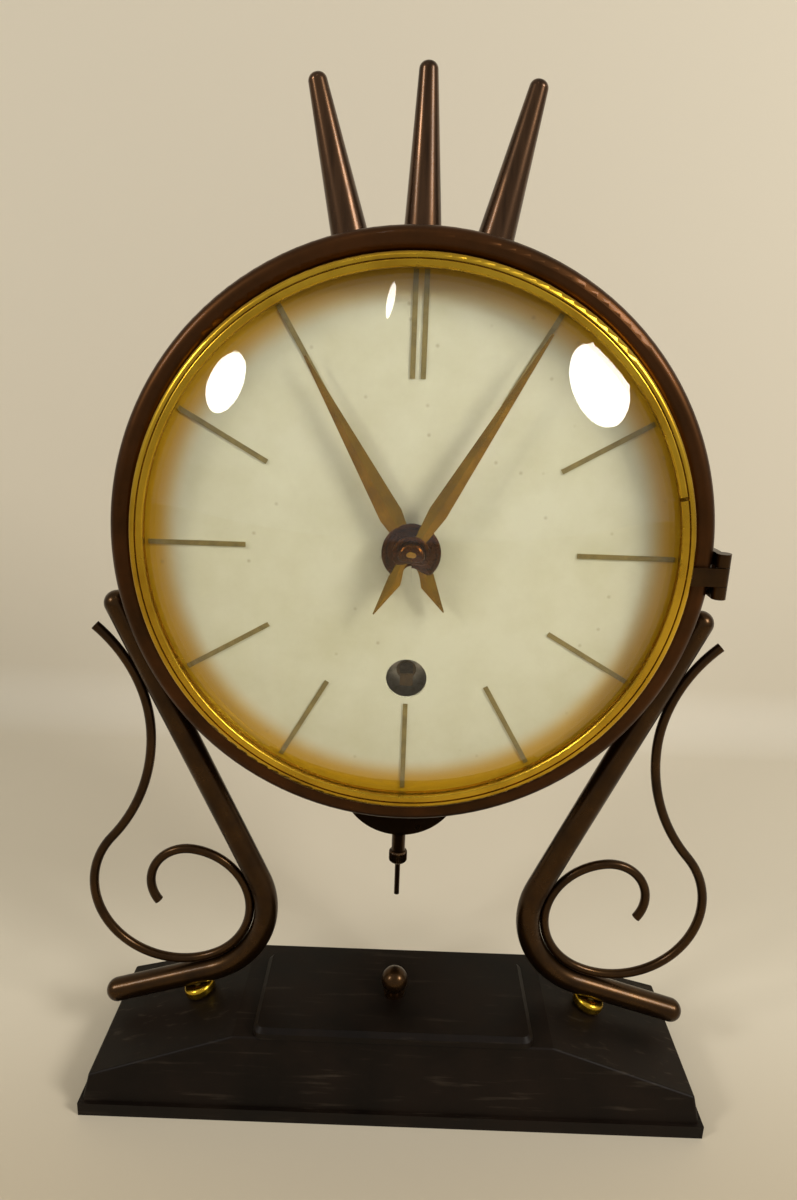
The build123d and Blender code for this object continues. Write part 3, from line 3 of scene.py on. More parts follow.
import logging
import math
from dataclasses import dataclass, field
from enum import Enum
from typing import Any, Iterable, Sequence

import bmesh
import bpy
from mathutils import Matrix, Vector


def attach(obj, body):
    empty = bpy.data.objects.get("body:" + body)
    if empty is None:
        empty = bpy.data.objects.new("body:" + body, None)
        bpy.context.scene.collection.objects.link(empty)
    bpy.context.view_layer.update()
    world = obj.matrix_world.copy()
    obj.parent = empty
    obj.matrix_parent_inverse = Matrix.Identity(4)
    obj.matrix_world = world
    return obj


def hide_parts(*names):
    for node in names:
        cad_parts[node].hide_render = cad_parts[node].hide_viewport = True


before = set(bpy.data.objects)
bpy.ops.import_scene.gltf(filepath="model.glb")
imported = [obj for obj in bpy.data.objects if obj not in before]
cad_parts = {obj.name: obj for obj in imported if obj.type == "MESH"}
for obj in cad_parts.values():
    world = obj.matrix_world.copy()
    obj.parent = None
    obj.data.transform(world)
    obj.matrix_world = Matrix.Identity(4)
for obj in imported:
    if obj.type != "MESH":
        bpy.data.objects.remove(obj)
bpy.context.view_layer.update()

log = logging.getLogger("table_clock")

MM = 0.001
HUB_HEIGHT = 158.0 * MM
# Corners closer than this are one corner
WELD = 1e-7


class Body(Enum):
    """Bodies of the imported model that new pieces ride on."""

    MINUTE = "minute"
    HOUR = "hour"
    NUT = "nut"


class Slot(Enum):
    """Material slots of the record that new pieces use."""

    DARK_BRONZE = "dark_bronze"
    HAND_BRASS = "hand_brass"


def linear(code: str) -> tuple[float, float, float, float]:
    """Turn an sRGB hex colour into linear values.

    Args:
        code: colour such as "#C89B3C".

    Returns:
        Linear red, green, blue and an alpha of one.
    """
    parts = [int(code[i : i + 2], 16) / 255.0 for i in (1, 3, 5)]
    values = [p / 12.92 if p <= 0.04045 else ((p + 0.055) / 1.055) ** 2.4 for p in parts]
    return (values[0], values[1], values[2], 1.0)


def add_node(
    tree: bpy.types.NodeTree, kind: str, links: dict[Any, Any] | None = None, **settings: Any
) -> Any:
    """Add a shader node with its settings and its incoming links.

    Args:
        tree: node tree that takes the node.
        kind: node type name.
        links: input name or index, to an output socket or a constant.
        settings: attributes of the node.

    Returns:
        The new node.
    """
    node = tree.nodes.new(kind)
    for name, value in settings.items():
        setattr(node, name, value)
    for name, value in (links or {}).items():
        if isinstance(value, bpy.types.NodeSocket):
            tree.links.new(value, node.inputs[name])
        else:
            node.inputs[name].default_value = value
    return node


def per_metre(size_mm: float) -> float:
    """Pattern scale whose features are about size_mm wide."""
    return 1.0 / (size_mm * MM)


def hub_distance(tree: bpy.types.NodeTree, place: Any) -> Any:
    """Distance of the shaded point from the axis through the hub.

    Args:
        tree: node tree of the material.
        place: Texture Coordinate node.

    Returns:
        Output socket, in metres.
    """
    centred = add_node(
        tree,
        "ShaderNodeVectorMath",
        {0: place.outputs["Object"], 1: (0.0, 0.0, HUB_HEIGHT)},
        operation="SUBTRACT",
    )
    flat = add_node(
        tree, "ShaderNodeVectorMath", {0: centred.outputs["Vector"], 1: (1.0, 0.0, 1.0)}, operation="MULTIPLY"
    )
    reach = add_node(tree, "ShaderNodeVectorMath", {0: flat.outputs["Vector"]}, operation="LENGTH")
    return reach.outputs["Value"]


@dataclass(frozen=True)
class Finish:
    """A finish with a main colour, a second colour in patches and a fine bump."""

    name: str
    colour: str
    patch: str
    patch_mm: float
    metallic: float
    smooth: float
    rough: float
    bump_mm: float
    bump: float
    coat: float = 0.0
    streak: tuple[float, float, float] = (1.0, 1.0, 1.0)
    specular: float = 0.5
    patch_low: float = 0.38
    patch_high: float = 0.68
    patch_detail: float = 6.0
    patch_roughness: float = 0.6
    bump_detail: float = 3.0
    bump_height_mm: float = 0.1

    def start(self) -> tuple[bpy.types.Material, bpy.types.NodeTree, Any, Any]:
        """Make an empty material.

        Returns:
            The material, its tree, its Principled shader and its Texture Coordinate node.
        """
        material = bpy.data.materials.new(self.name)
        material.use_nodes = True
        tree = material.node_tree
        tree.nodes.clear()
        shader = add_node(tree, "ShaderNodeBsdfPrincipled")
        add_node(tree, "ShaderNodeOutputMaterial", {"Surface": shader.outputs["BSDF"]})
        place = add_node(tree, "ShaderNodeTexCoord")
        shader.inputs["Metallic"].default_value = self.metallic
        shader.inputs["Coat Weight"].default_value = self.coat
        shader.inputs["Specular IOR Level"].default_value = self.specular
        return material, tree, shader, place

    def patches(self, tree: bpy.types.NodeTree, place: Any) -> Any:
        """Cloudy mask of the second colour.

        Args:
            tree: node tree of the material.
            place: Texture Coordinate node.

        Returns:
            Output socket, 0 to 1.
        """
        spread = add_node(
            tree, "ShaderNodeMapping", {"Vector": place.outputs["Object"], "Scale": self.streak}
        )
        cloud = add_node(
            tree,
            "ShaderNodeTexNoise",
            {
                "Vector": spread.outputs["Vector"],
                "Scale": per_metre(self.patch_mm),
                "Detail": self.patch_detail,
                "Roughness": self.patch_roughness,
            },
        )
        mask = add_node(
            tree,
            "ShaderNodeMapRange",
            {"Value": cloud.outputs["Fac"], "From Min": self.patch_low, "From Max": self.patch_high},
        )
        return mask.outputs["Result"]

    def grain(self, tree: bpy.types.NodeTree, place: Any) -> Any:
        """Vector that the fine bump follows; here the same in all directions.

        Args:
            tree: node tree of the material; not used here.
            place: Texture Coordinate node.

        Returns:
            Output socket of the vector.
        """
        return place.outputs["Object"]

    def roughen(self, tree: bpy.types.NodeTree, shader: Any, place: Any, mask: Any) -> None:
        """Link roughness and bump.

        Args:
            tree: node tree of the material.
            shader: Principled shader.
            place: Texture Coordinate node.
            mask: mask that goes from the smooth to the rough value.
        """
        gloss = add_node(
            tree, "ShaderNodeMapRange", {"Value": mask, "To Min": self.smooth, "To Max": self.rough}
        )
        tree.links.new(gloss.outputs["Result"], shader.inputs["Roughness"])
        grit = add_node(
            tree,
            "ShaderNodeTexNoise",
            {
                "Vector": self.grain(tree, place),
                "Scale": per_metre(self.bump_mm),
                "Detail": self.bump_detail,
            },
        )
        bump = add_node(
            tree,
            "ShaderNodeBump",
            {"Height": grit.outputs["Fac"], "Strength": self.bump, "Distance": self.bump_height_mm * MM},
        )
        tree.links.new(bump.outputs["Normal"], shader.inputs["Normal"])

    @staticmethod
    def blend(tree: bpy.types.NodeTree, factor: Any, low: Any, high: Any) -> Any:
        """Mix two colours.

        Args:
            tree: node tree of the material.
            factor: output socket, 0 to 1.
            low: colour or socket at 0.
            high: colour or socket at 1.

        Returns:
            The mixed colour's socket.
        """
        mix = add_node(tree, "ShaderNodeMix", data_type="RGBA")
        tree.links.new(factor, mix.inputs[0])
        for index, value in ((6, low), (7, high)):
            if isinstance(value, bpy.types.NodeSocket):
                tree.links.new(value, mix.inputs[index])
            else:
                mix.inputs[index].default_value = value
        return mix.outputs[2]

    def material(self) -> bpy.types.Material:
        """Build the material: patches of the second colour on the first, with a matching change of gloss.

        Returns:
            The new material.
        """
        material, tree, shader, place = self.start()
        mask = self.patches(tree, place)
        colour = self.blend(tree, mask, linear(self.colour), linear(self.patch))
        tree.links.new(colour, shader.inputs["Base Color"])
        self.roughen(tree, shader, place, mask)
        return material


@dataclass(frozen=True)
class ScuffedFinish(Finish):
    """A dark finish with pale hairline scuffs and dust."""

    scuff: str = "#5A4F42"
    scuff_mm: float = 1.4
    scuff_run: float = 14.0
    scuff_turn: tuple[float, float, float] = (0.0, 0.2, 0.3)
    scuff_detail: float = 4.0
    scuff_low: float = 0.6
    scuff_high: float = 0.78
    scuff_share: float = 0.45

    def material(self) -> bpy.types.Material:
        """Build the material: clouded black with long fine scuffs, roughly along X.

        Returns:
            The new material.
        """
        material, tree, shader, place = self.start()
        mask = self.patches(tree, place)
        ground = self.blend(tree, mask, linear(self.colour), linear(self.patch))
        stretch = add_node(
            tree,
            "ShaderNodeMapping",
            {
                "Vector": place.outputs["Object"],
                "Scale": (1.0 / self.scuff_run, 1.0, 1.0),
                "Rotation": self.scuff_turn,
            },
        )
        lines = add_node(
            tree,
            "ShaderNodeTexNoise",
            {
                "Vector": stretch.outputs["Vector"],
                "Scale": per_metre(self.scuff_mm),
                "Detail": self.scuff_detail,
            },
        )
        thin = add_node(
            tree,
            "ShaderNodeMapRange",
            {
                "Value": lines.outputs["Fac"],
                "From Min": self.scuff_low,
                "From Max": self.scuff_high,
                "To Max": self.scuff_share,
            },
        )
        worn = add_node(tree, "ShaderNodeMath", {0: thin.outputs["Result"], 1: mask}, operation="MULTIPLY")
        colour = self.blend(tree, worn.outputs["Value"], ground, linear(self.scuff))
        tree.links.new(colour, shader.inputs["Base Color"])
        self.roughen(tree, shader, place, mask)
        return material


@dataclass(frozen=True)
class SpunFinish(Finish):
    """A finish whose fine lines run round the hub's axis, as spinning and turning leave them."""

    def grain(self, tree: bpy.types.NodeTree, place: Any) -> Any:
        """Vector of the radius and the depth, so that the bump is the same all the way round.

        Args:
            tree: node tree of the material.
            place: Texture Coordinate node.

        Returns:
            Output socket of the vector.
        """
        depth = add_node(tree, "ShaderNodeSeparateXYZ", {"Vector": place.outputs["Object"]})
        lathe = add_node(
            tree, "ShaderNodeCombineXYZ", {"X": hub_distance(tree, place), "Y": depth.outputs["Y"]}
        )
        return lathe.outputs["Vector"]


@dataclass(frozen=True)
class DialFinish(Finish):
    """Ivory enamel with brown specks, with a painted golden-brown reflection of the brass bezel and painted
    bezel shade towards the rim.
    """

    # golden-brown painted reflection of the brass bezel and painted bezel shade, faded in between these two
    # distances from the hub
    rim: str = "#AC840A"
    rim_start_mm: float = 56.0
    rim_end_mm: float = 62.6
    speck: str = "#6E5730"
    speck_mm: float = 5.5
    speck_size_share: float = 0.12
    speckless_share: float = 0.45
    speck_depth: float = 0.5

    def material(self) -> bpy.types.Material:
        """Build the material on the distance from the hub.

        Returns:
            The new material.
        """
        material, tree, shader, place = self.start()
        mask = self.patches(tree, place)
        ground = self.blend(tree, mask, linear(self.colour), linear(self.patch))
        # painted reflection and shade of the bezel: grows from rim_start_mm to rim_end_mm
        painted_rim_mask = add_node(
            tree,
            "ShaderNodeMapRange",
            {
                "Value": hub_distance(tree, place),
                "From Min": self.rim_start_mm * MM,
                "From Max": self.rim_end_mm * MM,
            },
            interpolation_type="SMOOTHSTEP",
        )
        painted_rim_blend = self.blend(tree, painted_rim_mask.outputs["Result"], ground, linear(self.rim))
        cells = add_node(
            tree,
            "ShaderNodeTexVoronoi",
            {"Vector": place.outputs["Object"], "Scale": per_metre(self.speck_mm)},
        )
        dots = add_node(
            tree,
            "ShaderNodeMapRange",
            {"Value": cells.outputs["Distance"], "From Min": self.speck_size_share, "From Max": 0.0},
        )
        chance = add_node(tree, "ShaderNodeSeparateColor", {0: cells.outputs["Color"]})
        few = add_node(
            tree,
            "ShaderNodeMath",
            {0: chance.outputs[0], 1: self.speckless_share},
            operation="GREATER_THAN",
        )
        shown = add_node(
            tree, "ShaderNodeMath", {0: dots.outputs["Result"], 1: few.outputs["Value"]}, operation="MULTIPLY"
        )
        faded = add_node(
            tree, "ShaderNodeMath", {0: shown.outputs["Value"], 1: self.speck_depth}, operation="MULTIPLY"
        )
        colour = self.blend(tree, faded.outputs["Value"], painted_rim_blend, linear(self.speck))
        tree.links.new(colour, shader.inputs["Base Color"])
        self.roughen(tree, shader, place, mask)
        return material


@dataclass(frozen=True)
class GlassFinish(Finish):
    """Clear glass."""

    index: float = 1.45

    def material(self) -> bpy.types.Material:
        """Build a clear glass with a very faint unevenness of gloss.

        Returns:
            The new material.
        """
        material, tree, shader, place = self.start()
        shader.inputs["Base Color"].default_value = linear(self.colour)
        shader.inputs["Transmission Weight"].default_value = 1.0
        shader.inputs["IOR"].default_value = self.index
        smear = self.patches(tree, place)
        gloss = add_node(
            tree, "ShaderNodeMapRange", {"Value": smear, "To Min": self.smooth, "To Max": self.rough}
        )
        tree.links.new(gloss.outputs["Result"], shader.inputs["Roughness"])
        return material


# Ebonised wood, lacquered satin black: deep, slightly clouded, with fine pale scuffs
EBONISED_WOOD = ScuffedFinish(
    name="ebonised_wood",
    colour="#0D0805",
    patch="#1A110A",
    patch_mm=26.0,
    metallic=0.0,
    smooth=0.4,
    rough=0.56,
    bump_mm=0.7,
    bump=0.12,
    specular=0.13,
)
# Pressed wool felt: fibrous and fully matt
WOOL_FELT = Finish(
    name="wool_felt",
    colour="#1B1F1A",
    patch="#2A2E27",
    patch_mm=1.2,
    metallic=0.0,
    smooth=0.95,
    rough=1.0,
    bump_mm=0.4,
    bump=0.8,
)
# Bronze with a brown lacquer patina: dark, warm where it catches the light
PATINATED_BRONZE = Finish(
    name="patinated_bronze",
    colour="#402A10",
    patch="#2C1B08",
    patch_mm=11.0,
    metallic=0.88,
    smooth=0.26,
    rough=0.38,
    bump_mm=0.5,
    bump=0.04,
    coat=0.1,
)
# The same bronze, spun into the drum: lathe lines run round it, drawn coarse enough to show
SPUN_BRONZE = SpunFinish(
    name="spun_bronze",
    colour="#4C2C10",
    patch="#362008",
    patch_mm=16.0,
    metallic=0.9,
    smooth=0.34,
    rough=0.42,
    bump_mm=0.8,
    bump=0.02,
    coat=0.06,
)
# Drawn bronze, coppery, with streaks along its length
COPPERY_BRONZE = Finish(
    name="coppery_bronze",
    colour="#553C28",
    patch="#352416",
    patch_mm=2.2,
    metallic=0.9,
    smooth=0.24,
    rough=0.34,
    bump_mm=0.6,
    bump=0.05,
    coat=0.12,
    streak=(1.0, 1.0, 0.06),
)
# Polished brass, turned, lightly tarnished in clouds
POLISHED_BRASS = SpunFinish(
    name="polished_brass",
    colour="#D6AE34",
    patch="#B48C26",
    patch_mm=14.0,
    metallic=1.0,
    smooth=0.24,
    rough=0.3,
    bump_mm=0.9,
    bump=0.015,
)
# Rolled plate brass of the movement, grained and duller
PLATE_BRASS = Finish(
    name="plate_brass",
    colour="#C49A45",
    patch="#A07A30",
    patch_mm=3.0,
    metallic=1.0,
    smooth=0.28,
    rough=0.4,
    bump_mm=0.4,
    bump=0.08,
    streak=(0.08, 1.0, 1.0),
)
# Sheet brass of the back cover, spun over a former and left with its lathe lines
SPUN_BRASS = SpunFinish(
    name="spun_brass",
    colour="#B48C3C",
    patch="#A07A34",
    patch_mm=12.0,
    metallic=1.0,
    smooth=0.26,
    rough=0.36,
    bump_mm=0.9,
    bump=0.16,
)
# Stamped brass of the hands, polished on its facets
HAND_BRASS = Finish(
    name="hand_brass",
    colour="#A67E10",
    patch="#82610A",
    patch_mm=5.0,
    metallic=1.0,
    smooth=0.14,
    rough=0.24,
    bump_mm=0.5,
    bump=0.03,
)
# Copper-plated hub, browned
HUB_COPPER = Finish(
    name="hub_copper",
    colour="#56300F",
    patch="#321B07",
    patch_mm=2.0,
    metallic=1.0,
    smooth=0.22,
    rough=0.38,
    bump_mm=0.5,
    bump=0.08,
)
# Gilt printed lines, olive and half matt
LINE_GILT = Finish(
    name="line_gilt",
    colour="#83733C",
    patch="#6C5E2E",
    patch_mm=3.0,
    metallic=0.35,
    smooth=0.4,
    rough=0.55,
    bump_mm=0.5,
    bump=0.05,
)
# Ivory enamel on sheet metal, aged; the golden-brown towards its edge is painted reflection and painted shade
# of the bezel
IVORY_ENAMEL = DialFinish(
    name="ivory_enamel",
    colour="#C3C1A5",
    patch="#B9B696",
    patch_mm=18.0,
    metallic=0.0,
    smooth=0.42,
    rough=0.55,
    bump_mm=1.0,
    bump=0.05,
)
# Blown and cut clock glass
CLOCK_GLASS = GlassFinish(
    name="clock_glass",
    colour="#FFFFFF",
    patch="#FFFFFF",
    patch_mm=30.0,
    metallic=0.0,
    smooth=0.0,
    rough=0.015,
    bump_mm=1.0,
    bump=0.0,
)
# Steel of the winding square, browned by old oil
OILED_STEEL = Finish(
    name="oiled_steel",
    colour="#5A4A34",
    patch="#3A2E1E",
    patch_mm=2.0,
    metallic=1.0,
    smooth=0.3,
    rough=0.45,
    bump_mm=0.4,
    bump=0.06,
)
# Turned mild steel, bright and lightly oiled
TURNED_STEEL = Finish(
    name="turned_steel",
    colour="#9A9892",
    patch="#77756F",
    patch_mm=2.0,
    metallic=1.0,
    smooth=0.28,
    rough=0.42,
    bump_mm=0.4,
    bump=0.06,
)


def dress(material: bpy.types.Material, nodes: Iterable[str]) -> None:
    """Give CAD nodes a material in their own slots.

    Args:
        material: finish to assign.
        nodes: names of the CAD nodes.
    """
    for name in nodes:
        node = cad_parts[name]
        if not node.material_slots:
            node.data.materials.append(material)
        for slot in node.material_slots:
            slot.material = material
        log.info("dressed %s in %s", name, material.name)


def finish_piece(
    name: str,
    mesh: bmesh.types.BMesh,
    material: bpy.types.Material,
    body: Body,
    replaces: Sequence[str] = (),
    smooth_deg: float = 35.0,
) -> bpy.types.Object:
    """Turn a bmesh into a piece that rides on a body.

    Args:
        name: piece name.
        mesh: shape in the clock's frame, in metres; it is freed.
        material: finish.
        body: body that carries the piece.
        replaces: CAD nodes that the piece stands for.
        smooth_deg: edges flatter than this are shaded smooth.

    Returns:
        The new object.
    """
    bmesh.ops.remove_doubles(mesh, verts=mesh.verts, dist=WELD)
    bmesh.ops.recalc_face_normals(mesh, faces=mesh.faces)
    limit = math.radians(smooth_deg)
    for face in mesh.faces:
        face.smooth = True
    for edge in mesh.edges:
        edge.smooth = len(edge.link_faces) == 2 and edge.calc_face_angle(0.0) < limit
    data = bpy.data.meshes.new(name)
    mesh.to_mesh(data)
    mesh.free()
    data.materials.append(material)
    piece = bpy.data.objects.new(name, data)
    bpy.context.scene.collection.objects.link(piece)
    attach(piece, body.value)
    if replaces:
        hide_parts(*replaces)
    log.info("made %s", name)
    return piece


def turned(
    mesh: bmesh.types.BMesh, profile: Sequence[tuple[float, float]], place: Matrix, steps: int = 64
) -> None:
    """Spin a profile round the local Z axis into a closed solid.

    Args:
        mesh: bmesh that takes the shape.
        profile: points as radius and height in metres; it starts and ends on the axis or closes on itself.
        place: matrix from the local axis to the clock's frame.
        steps: faces round the turn.
    """
    verts = [mesh.verts.new((radius, 0.0, height)) for radius, height in profile]
    edges = [mesh.edges.new(pair) for pair in zip(verts, verts[1:])]
    if profile[0][0] > 0.0 and profile[-1][0] > 0.0:
        edges.append(mesh.edges.new((verts[-1], verts[0])))
    before = set(mesh.verts) - set(verts)
    bmesh.ops.spin(
        mesh,
        geom=verts + edges,
        cent=(0.0, 0.0, 0.0),
        axis=(0.0, 0.0, 1.0),
        dvec=(0.0, 0.0, 0.0),
        angle=math.tau,
        steps=steps,
        use_merge=True,
        use_normal_flip=False,
        use_duplicate=False,
    )
    fresh = [v for v in mesh.verts if v not in before]
    bmesh.ops.remove_doubles(mesh, verts=fresh, dist=WELD)
    bmesh.ops.transform(mesh, matrix=place, verts=[v for v in mesh.verts if v not in before])


def facing(y_mm: float) -> Matrix:
    """Matrix whose local Z points to the viewer, on the hub's axis.

    Args:
        y_mm: depth.

    Returns:
        The placing matrix.
    """
    turn = Matrix(((1.0, 0.0, 0.0), (0.0, 0.0, -1.0), (0.0, 1.0, 0.0))).to_4x4()
    return Matrix.Translation(Vector((0.0, y_mm * MM, HUB_HEIGHT))) @ turn


@dataclass
class Base:
    """Black base with the key well, its lid and the felt feet."""

    wood_nodes: tuple[str, ...] = ("base_block", "key_lid")

    def dress(self) -> None:
        """Give the base its finishes."""
        dress(EBONISED_WOOD.material(), self.wood_nodes)
        dress(WOOL_FELT.material(), ("felt_feet",))


@dataclass
class Clock:
    """The finishes that several sub-assemblies share."""

    bronze: bpy.types.Material = field(default_factory=PATINATED_BRONZE.material)
    copper: bpy.types.Material = field(default_factory=COPPERY_BRONZE.material)
    brass: bpy.types.Material = field(default_factory=POLISHED_BRASS.material)
    plate: bpy.types.Material = field(default_factory=PLATE_BRASS.material)
    steel: bpy.types.Material = field(default_factory=TURNED_STEEL.material)


@dataclass
class Legs:
    """Bent legs with scroll wires, their spacers and screws."""

    shared: Clock

    def dress(self) -> None:
        """Give the legs their finishes."""
        dress(self.shared.bronze, ("right_leg", "left_leg", "right_scroll", "left_scroll"))
        dress(self.shared.brass, ("leg_spacers",))
        dress(self.shared.steel, ("leg_screws", "case_screws"))


@dataclass
class Case:
    """Drum, back cover, spikes and hinge."""

    shared: Clock

    def dress(self) -> None:
        """Give the case its finishes."""
        dress(SPUN_BRONZE.material(), ("case_drum",))
        dress(self.shared.bronze, ("lid_knob", "hinge_case_leaf", "hinge_bezel_leaf", "hinge_pin"))
        dress(self.shared.copper, ("left_spike", "centre_spike", "right_spike"))
        dress(SPUN_BRASS.material(), ("back_cover",))
        dress(self.shared.steel, ("spike_nuts", "hinge_rivets"))


@dataclass
class Bezel:
    """Brass bezel with the domed glass and its split ring."""

    shared: Clock

    def dress(self) -> None:
        """Give the bezel its finishes; the glass lets the lamps' light through to the dial."""
        dress(self.shared.brass, ("bezel_ring", "retaining_ring"))
        dress(CLOCK_GLASS.material(), ("glass",))
        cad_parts["glass"].visible_shadow = False


@dataclass
class Hand:
    """One faceted hand, drawn pointing to twelve."""

    name: str
    body: Body
    back_mm: float
    reach_mm: float
    half_mm: float
    tail_mm: float
    angle_deg: float
    boss_mm: float
    bore_mm: float
    edge_mm: float = 0.35
    ridge_mm: float = 1.1
    widest_share: float = 0.2
    tail_share: float = 0.8
    tip_half_mm: float = 0.3
    tail_tip_half_mm: float = 0.15
    shoulder_mm: float = 7.2
    boss_rise_mm: float = 0.1
    boss_bevel_mm: float = 0.35
    boss_land_mm: float = 1.0
    groove_slope_mm: float = 0.25
    groove_mm: float = 0.2
    lip_mm: float = 0.6
    crease_deg: float = 20.0

    def blade(self, mesh: bmesh.types.BMesh) -> None:
        """Build the blade and the tail with a ridge along the middle.

        Args:
            mesh: bmesh that takes the shape.
        """
        tail_half = self.half_mm * self.tail_share
        stations = (
            (self.reach_mm, self.tip_half_mm),
            (self.reach_mm * self.widest_share, self.half_mm),
            (0.0, tail_half / 2),
            (-self.shoulder_mm, tail_half),
            (-self.tail_mm, self.tail_tip_half_mm),
        )
        rows = []
        for along, half in stations:
            ridge = self.edge_mm + (self.ridge_mm - self.edge_mm) * half / self.half_mm
            points = ((-half, 0.0), (-half, self.edge_mm), (0.0, ridge), (half, self.edge_mm), (half, 0.0))
            rows.append([mesh.verts.new((x * MM, along * MM, z * MM)) for x, z in points])
        loops = []
        for row in rows:
            loops.append([mesh.edges.new((row[i], row[(i + 1) % len(row)])) for i in range(len(row))])
        for first, second in zip(loops, loops[1:]):
            bmesh.ops.bridge_loops(mesh, edges=first + second)
        bmesh.ops.contextual_create(mesh, geom=loops[0])
        bmesh.ops.contextual_create(mesh, geom=loops[-1])

    def boss(self, mesh: bmesh.types.BMesh) -> None:
        """Build the turned hub, with a groove round its bore.

        Args:
            mesh: bmesh that takes the shape.
        """
        low, rim, top = self.bore_mm, self.boss_mm, self.ridge_mm + self.boss_rise_mm
        land = rim - self.boss_land_mm
        floor = top - self.groove_mm
        profile = (
            (low, 0.0),
            (rim, 0.0),
            (rim, top - self.boss_bevel_mm),
            (rim - self.boss_bevel_mm, top),
            (land, top),
            (land - self.groove_slope_mm, floor),
            (low + self.lip_mm, floor),
            (low, top),
        )
        turned(mesh, [(radius * MM, height * MM) for radius, height in profile], Matrix.Identity(4))

    def build(self, blade: bpy.types.Material, hub: bpy.types.Material) -> bpy.types.Object:
        """Build the hand and put it in place.

        Args:
            blade: finish of the blade.
            hub: finish of the hub.

        Returns:
            The finished piece.
        """
        mesh = bmesh.new()
        self.blade(mesh)
        bmesh.ops.rotate(
            mesh, verts=mesh.verts, matrix=Matrix.Rotation(math.radians(-self.angle_deg), 3, "Z")
        )
        hub_start = len(mesh.faces)
        self.boss(mesh)
        mesh.faces.ensure_lookup_table()
        for face in mesh.faces[hub_start:]:
            face.material_index = 1
        bmesh.ops.transform(mesh, matrix=facing(self.back_mm), verts=mesh.verts)
        piece = finish_piece(
            self.name + "_faceted",
            mesh,
            blade,
            self.body,
            (self.name,),
            smooth_deg=self.crease_deg,
        )
        piece.data.materials.append(hub)
        return piece


@dataclass
class Dial:
    """Dial plate, hour lines, hands and their nut."""

    hour: Hand = field(
        default_factory=lambda: Hand(
            name="hour_hand",
            body=Body.HOUR,
            back_mm=-5.9,
            reach_mm=51.8,
            half_mm=2.9,
            tail_mm=17.0,
            angle_deg=-30.0,
            boss_mm=7.2,
            bore_mm=3.02,
        )
    )
    minute: Hand = field(
        default_factory=lambda: Hand(
            name="minute_hand",
            body=Body.MINUTE,
            back_mm=-8.0,
            reach_mm=59.2,
            half_mm=2.3,
            tail_mm=17.5,
            angle_deg=30.0,
            boss_mm=4.6,
            bore_mm=2.02,
        )
    )

    def dress(self) -> None:
        """Give the dial its finishes and build the hands."""
        dress(IVORY_ENAMEL.material(), ("dial_plate",))
        dress(LINE_GILT.material(), ("hour_marks",))
        blade = HAND_BRASS.material()
        hub = HUB_COPPER.material()
        dress(hub, ("hand_nut",))
        self.hour.build(blade, hub)
        self.minute.build(blade, hub)


@dataclass
class Movement:
    """Plates, wheels and arbors inside the drum."""

    shared: Clock
    brass_nodes: tuple[str, ...] = (
        "front_plate",
        "back_plate",
        "pillars",
        "movement_posts",
        "mainspring_barrel",
        "barrel_cap",
        "centre_wheel",
        "third_wheel",
        "escape_wheel",
        "minute_wheel",
        "hour_wheel",
        "cannon_pinion",
        "pendulum_cock",
    )
    steel_nodes: tuple[str, ...] = (
        "winding_key",
        "pillar_nuts",
        "movement_screws",
        "mainspring",
        "ratchet_wheel",
        "click",
        "click_screw",
        "anchor",
        "crutch",
        "minute_stud",
        "cock_screws",
    )

    def dress(self) -> None:
        """Give the movement its finishes."""
        dress(self.shared.plate, self.brass_nodes)
        dress(self.shared.steel, self.steel_nodes)
        dress(OILED_STEEL.material(), ("winding_arbor",))


@dataclass
class Pendulum:
    """Rod with a threaded end, bob, sleeve and rating nut."""

    shared: Clock
    depth_mm: float = 47.0
    nut_low_mm: float = -120.85
    nut_height_mm: float = 4.2
    nut_radius_mm: float = 3.1
    nut_bore_mm: float = 0.95
    nut_bevel_mm: float = 0.5
    knurls: int = 30
    knurl_mm: float = 0.25

    def nut(self) -> None:
        """Build the knurled rating nut in place of the plain one."""
        mesh = bmesh.new()
        radius, height = self.nut_radius_mm * MM, self.nut_height_mm * MM
        bore, soft = self.nut_bore_mm * MM, self.nut_bevel_mm * MM
        place = Matrix.Translation(Vector((0.0, self.depth_mm * MM, HUB_HEIGHT + self.nut_low_mm * MM)))
        turned(
            mesh,
            (
                (bore, 0.0),
                (radius - soft, 0.0),
                (radius, soft),
                (radius, height - soft),
                (radius - soft, height),
                (bore, height),
            ),
            place,
            steps=2 * self.knurls,
        )
        middle = Vector((0.0, self.depth_mm * MM, 0.0))
        for vert in mesh.verts:
            arm = Vector((vert.co.x, vert.co.y, 0.0)) - middle
            if arm.length < radius - soft / 2:
                continue
            count = round(math.atan2(arm.y, arm.x) / math.tau * 2 * self.knurls)
            if count % 2:
                vert.co -= arm.normalized() * self.knurl_mm * MM
        finish_piece(
            "rating_nut_knurled", mesh, self.shared.bronze, Body.NUT, ("rating_nut",)
        )

    def dress(self) -> None:
        """Give the pendulum its finishes and build its detail."""
        dress(self.shared.bronze, ("pendulum_bob", "bob_sleeve", "pendulum_rod"))
        self.nut()


@dataclass(frozen=True)
class Lamp:
    """A soft elliptical studio lamp, placed where the domed glass mirrors it."""

    name: str
    place_mm: tuple[float, float, float]
    width_mm: float
    height_mm: float
    radiance: float
    aim_mm: tuple[float, float, float] = (0.0, 0.0, 158.0)
    colour: str = "#FFFBF4"

    def build(self) -> None:
        """Make the lamp; its power follows from its radiance and its area."""
        data = bpy.data.lights.new(self.name, "AREA")
        data.shape = "ELLIPSE"
        data.size, data.size_y = self.width_mm * MM, self.height_mm * MM
        area = math.pi / 4 * data.size * data.size_y
        data.energy = self.radiance * math.pi * area
        data.color = linear(self.colour)[:3]
        lamp = bpy.data.objects.new(self.name, data)
        lamp.location = Vector(self.place_mm) * MM
        aim = Vector(self.aim_mm) * MM - lamp.location
        lamp.rotation_euler = aim.to_track_quat("-Z", "Y").to_euler()
        bpy.context.scene.collection.objects.link(lamp)


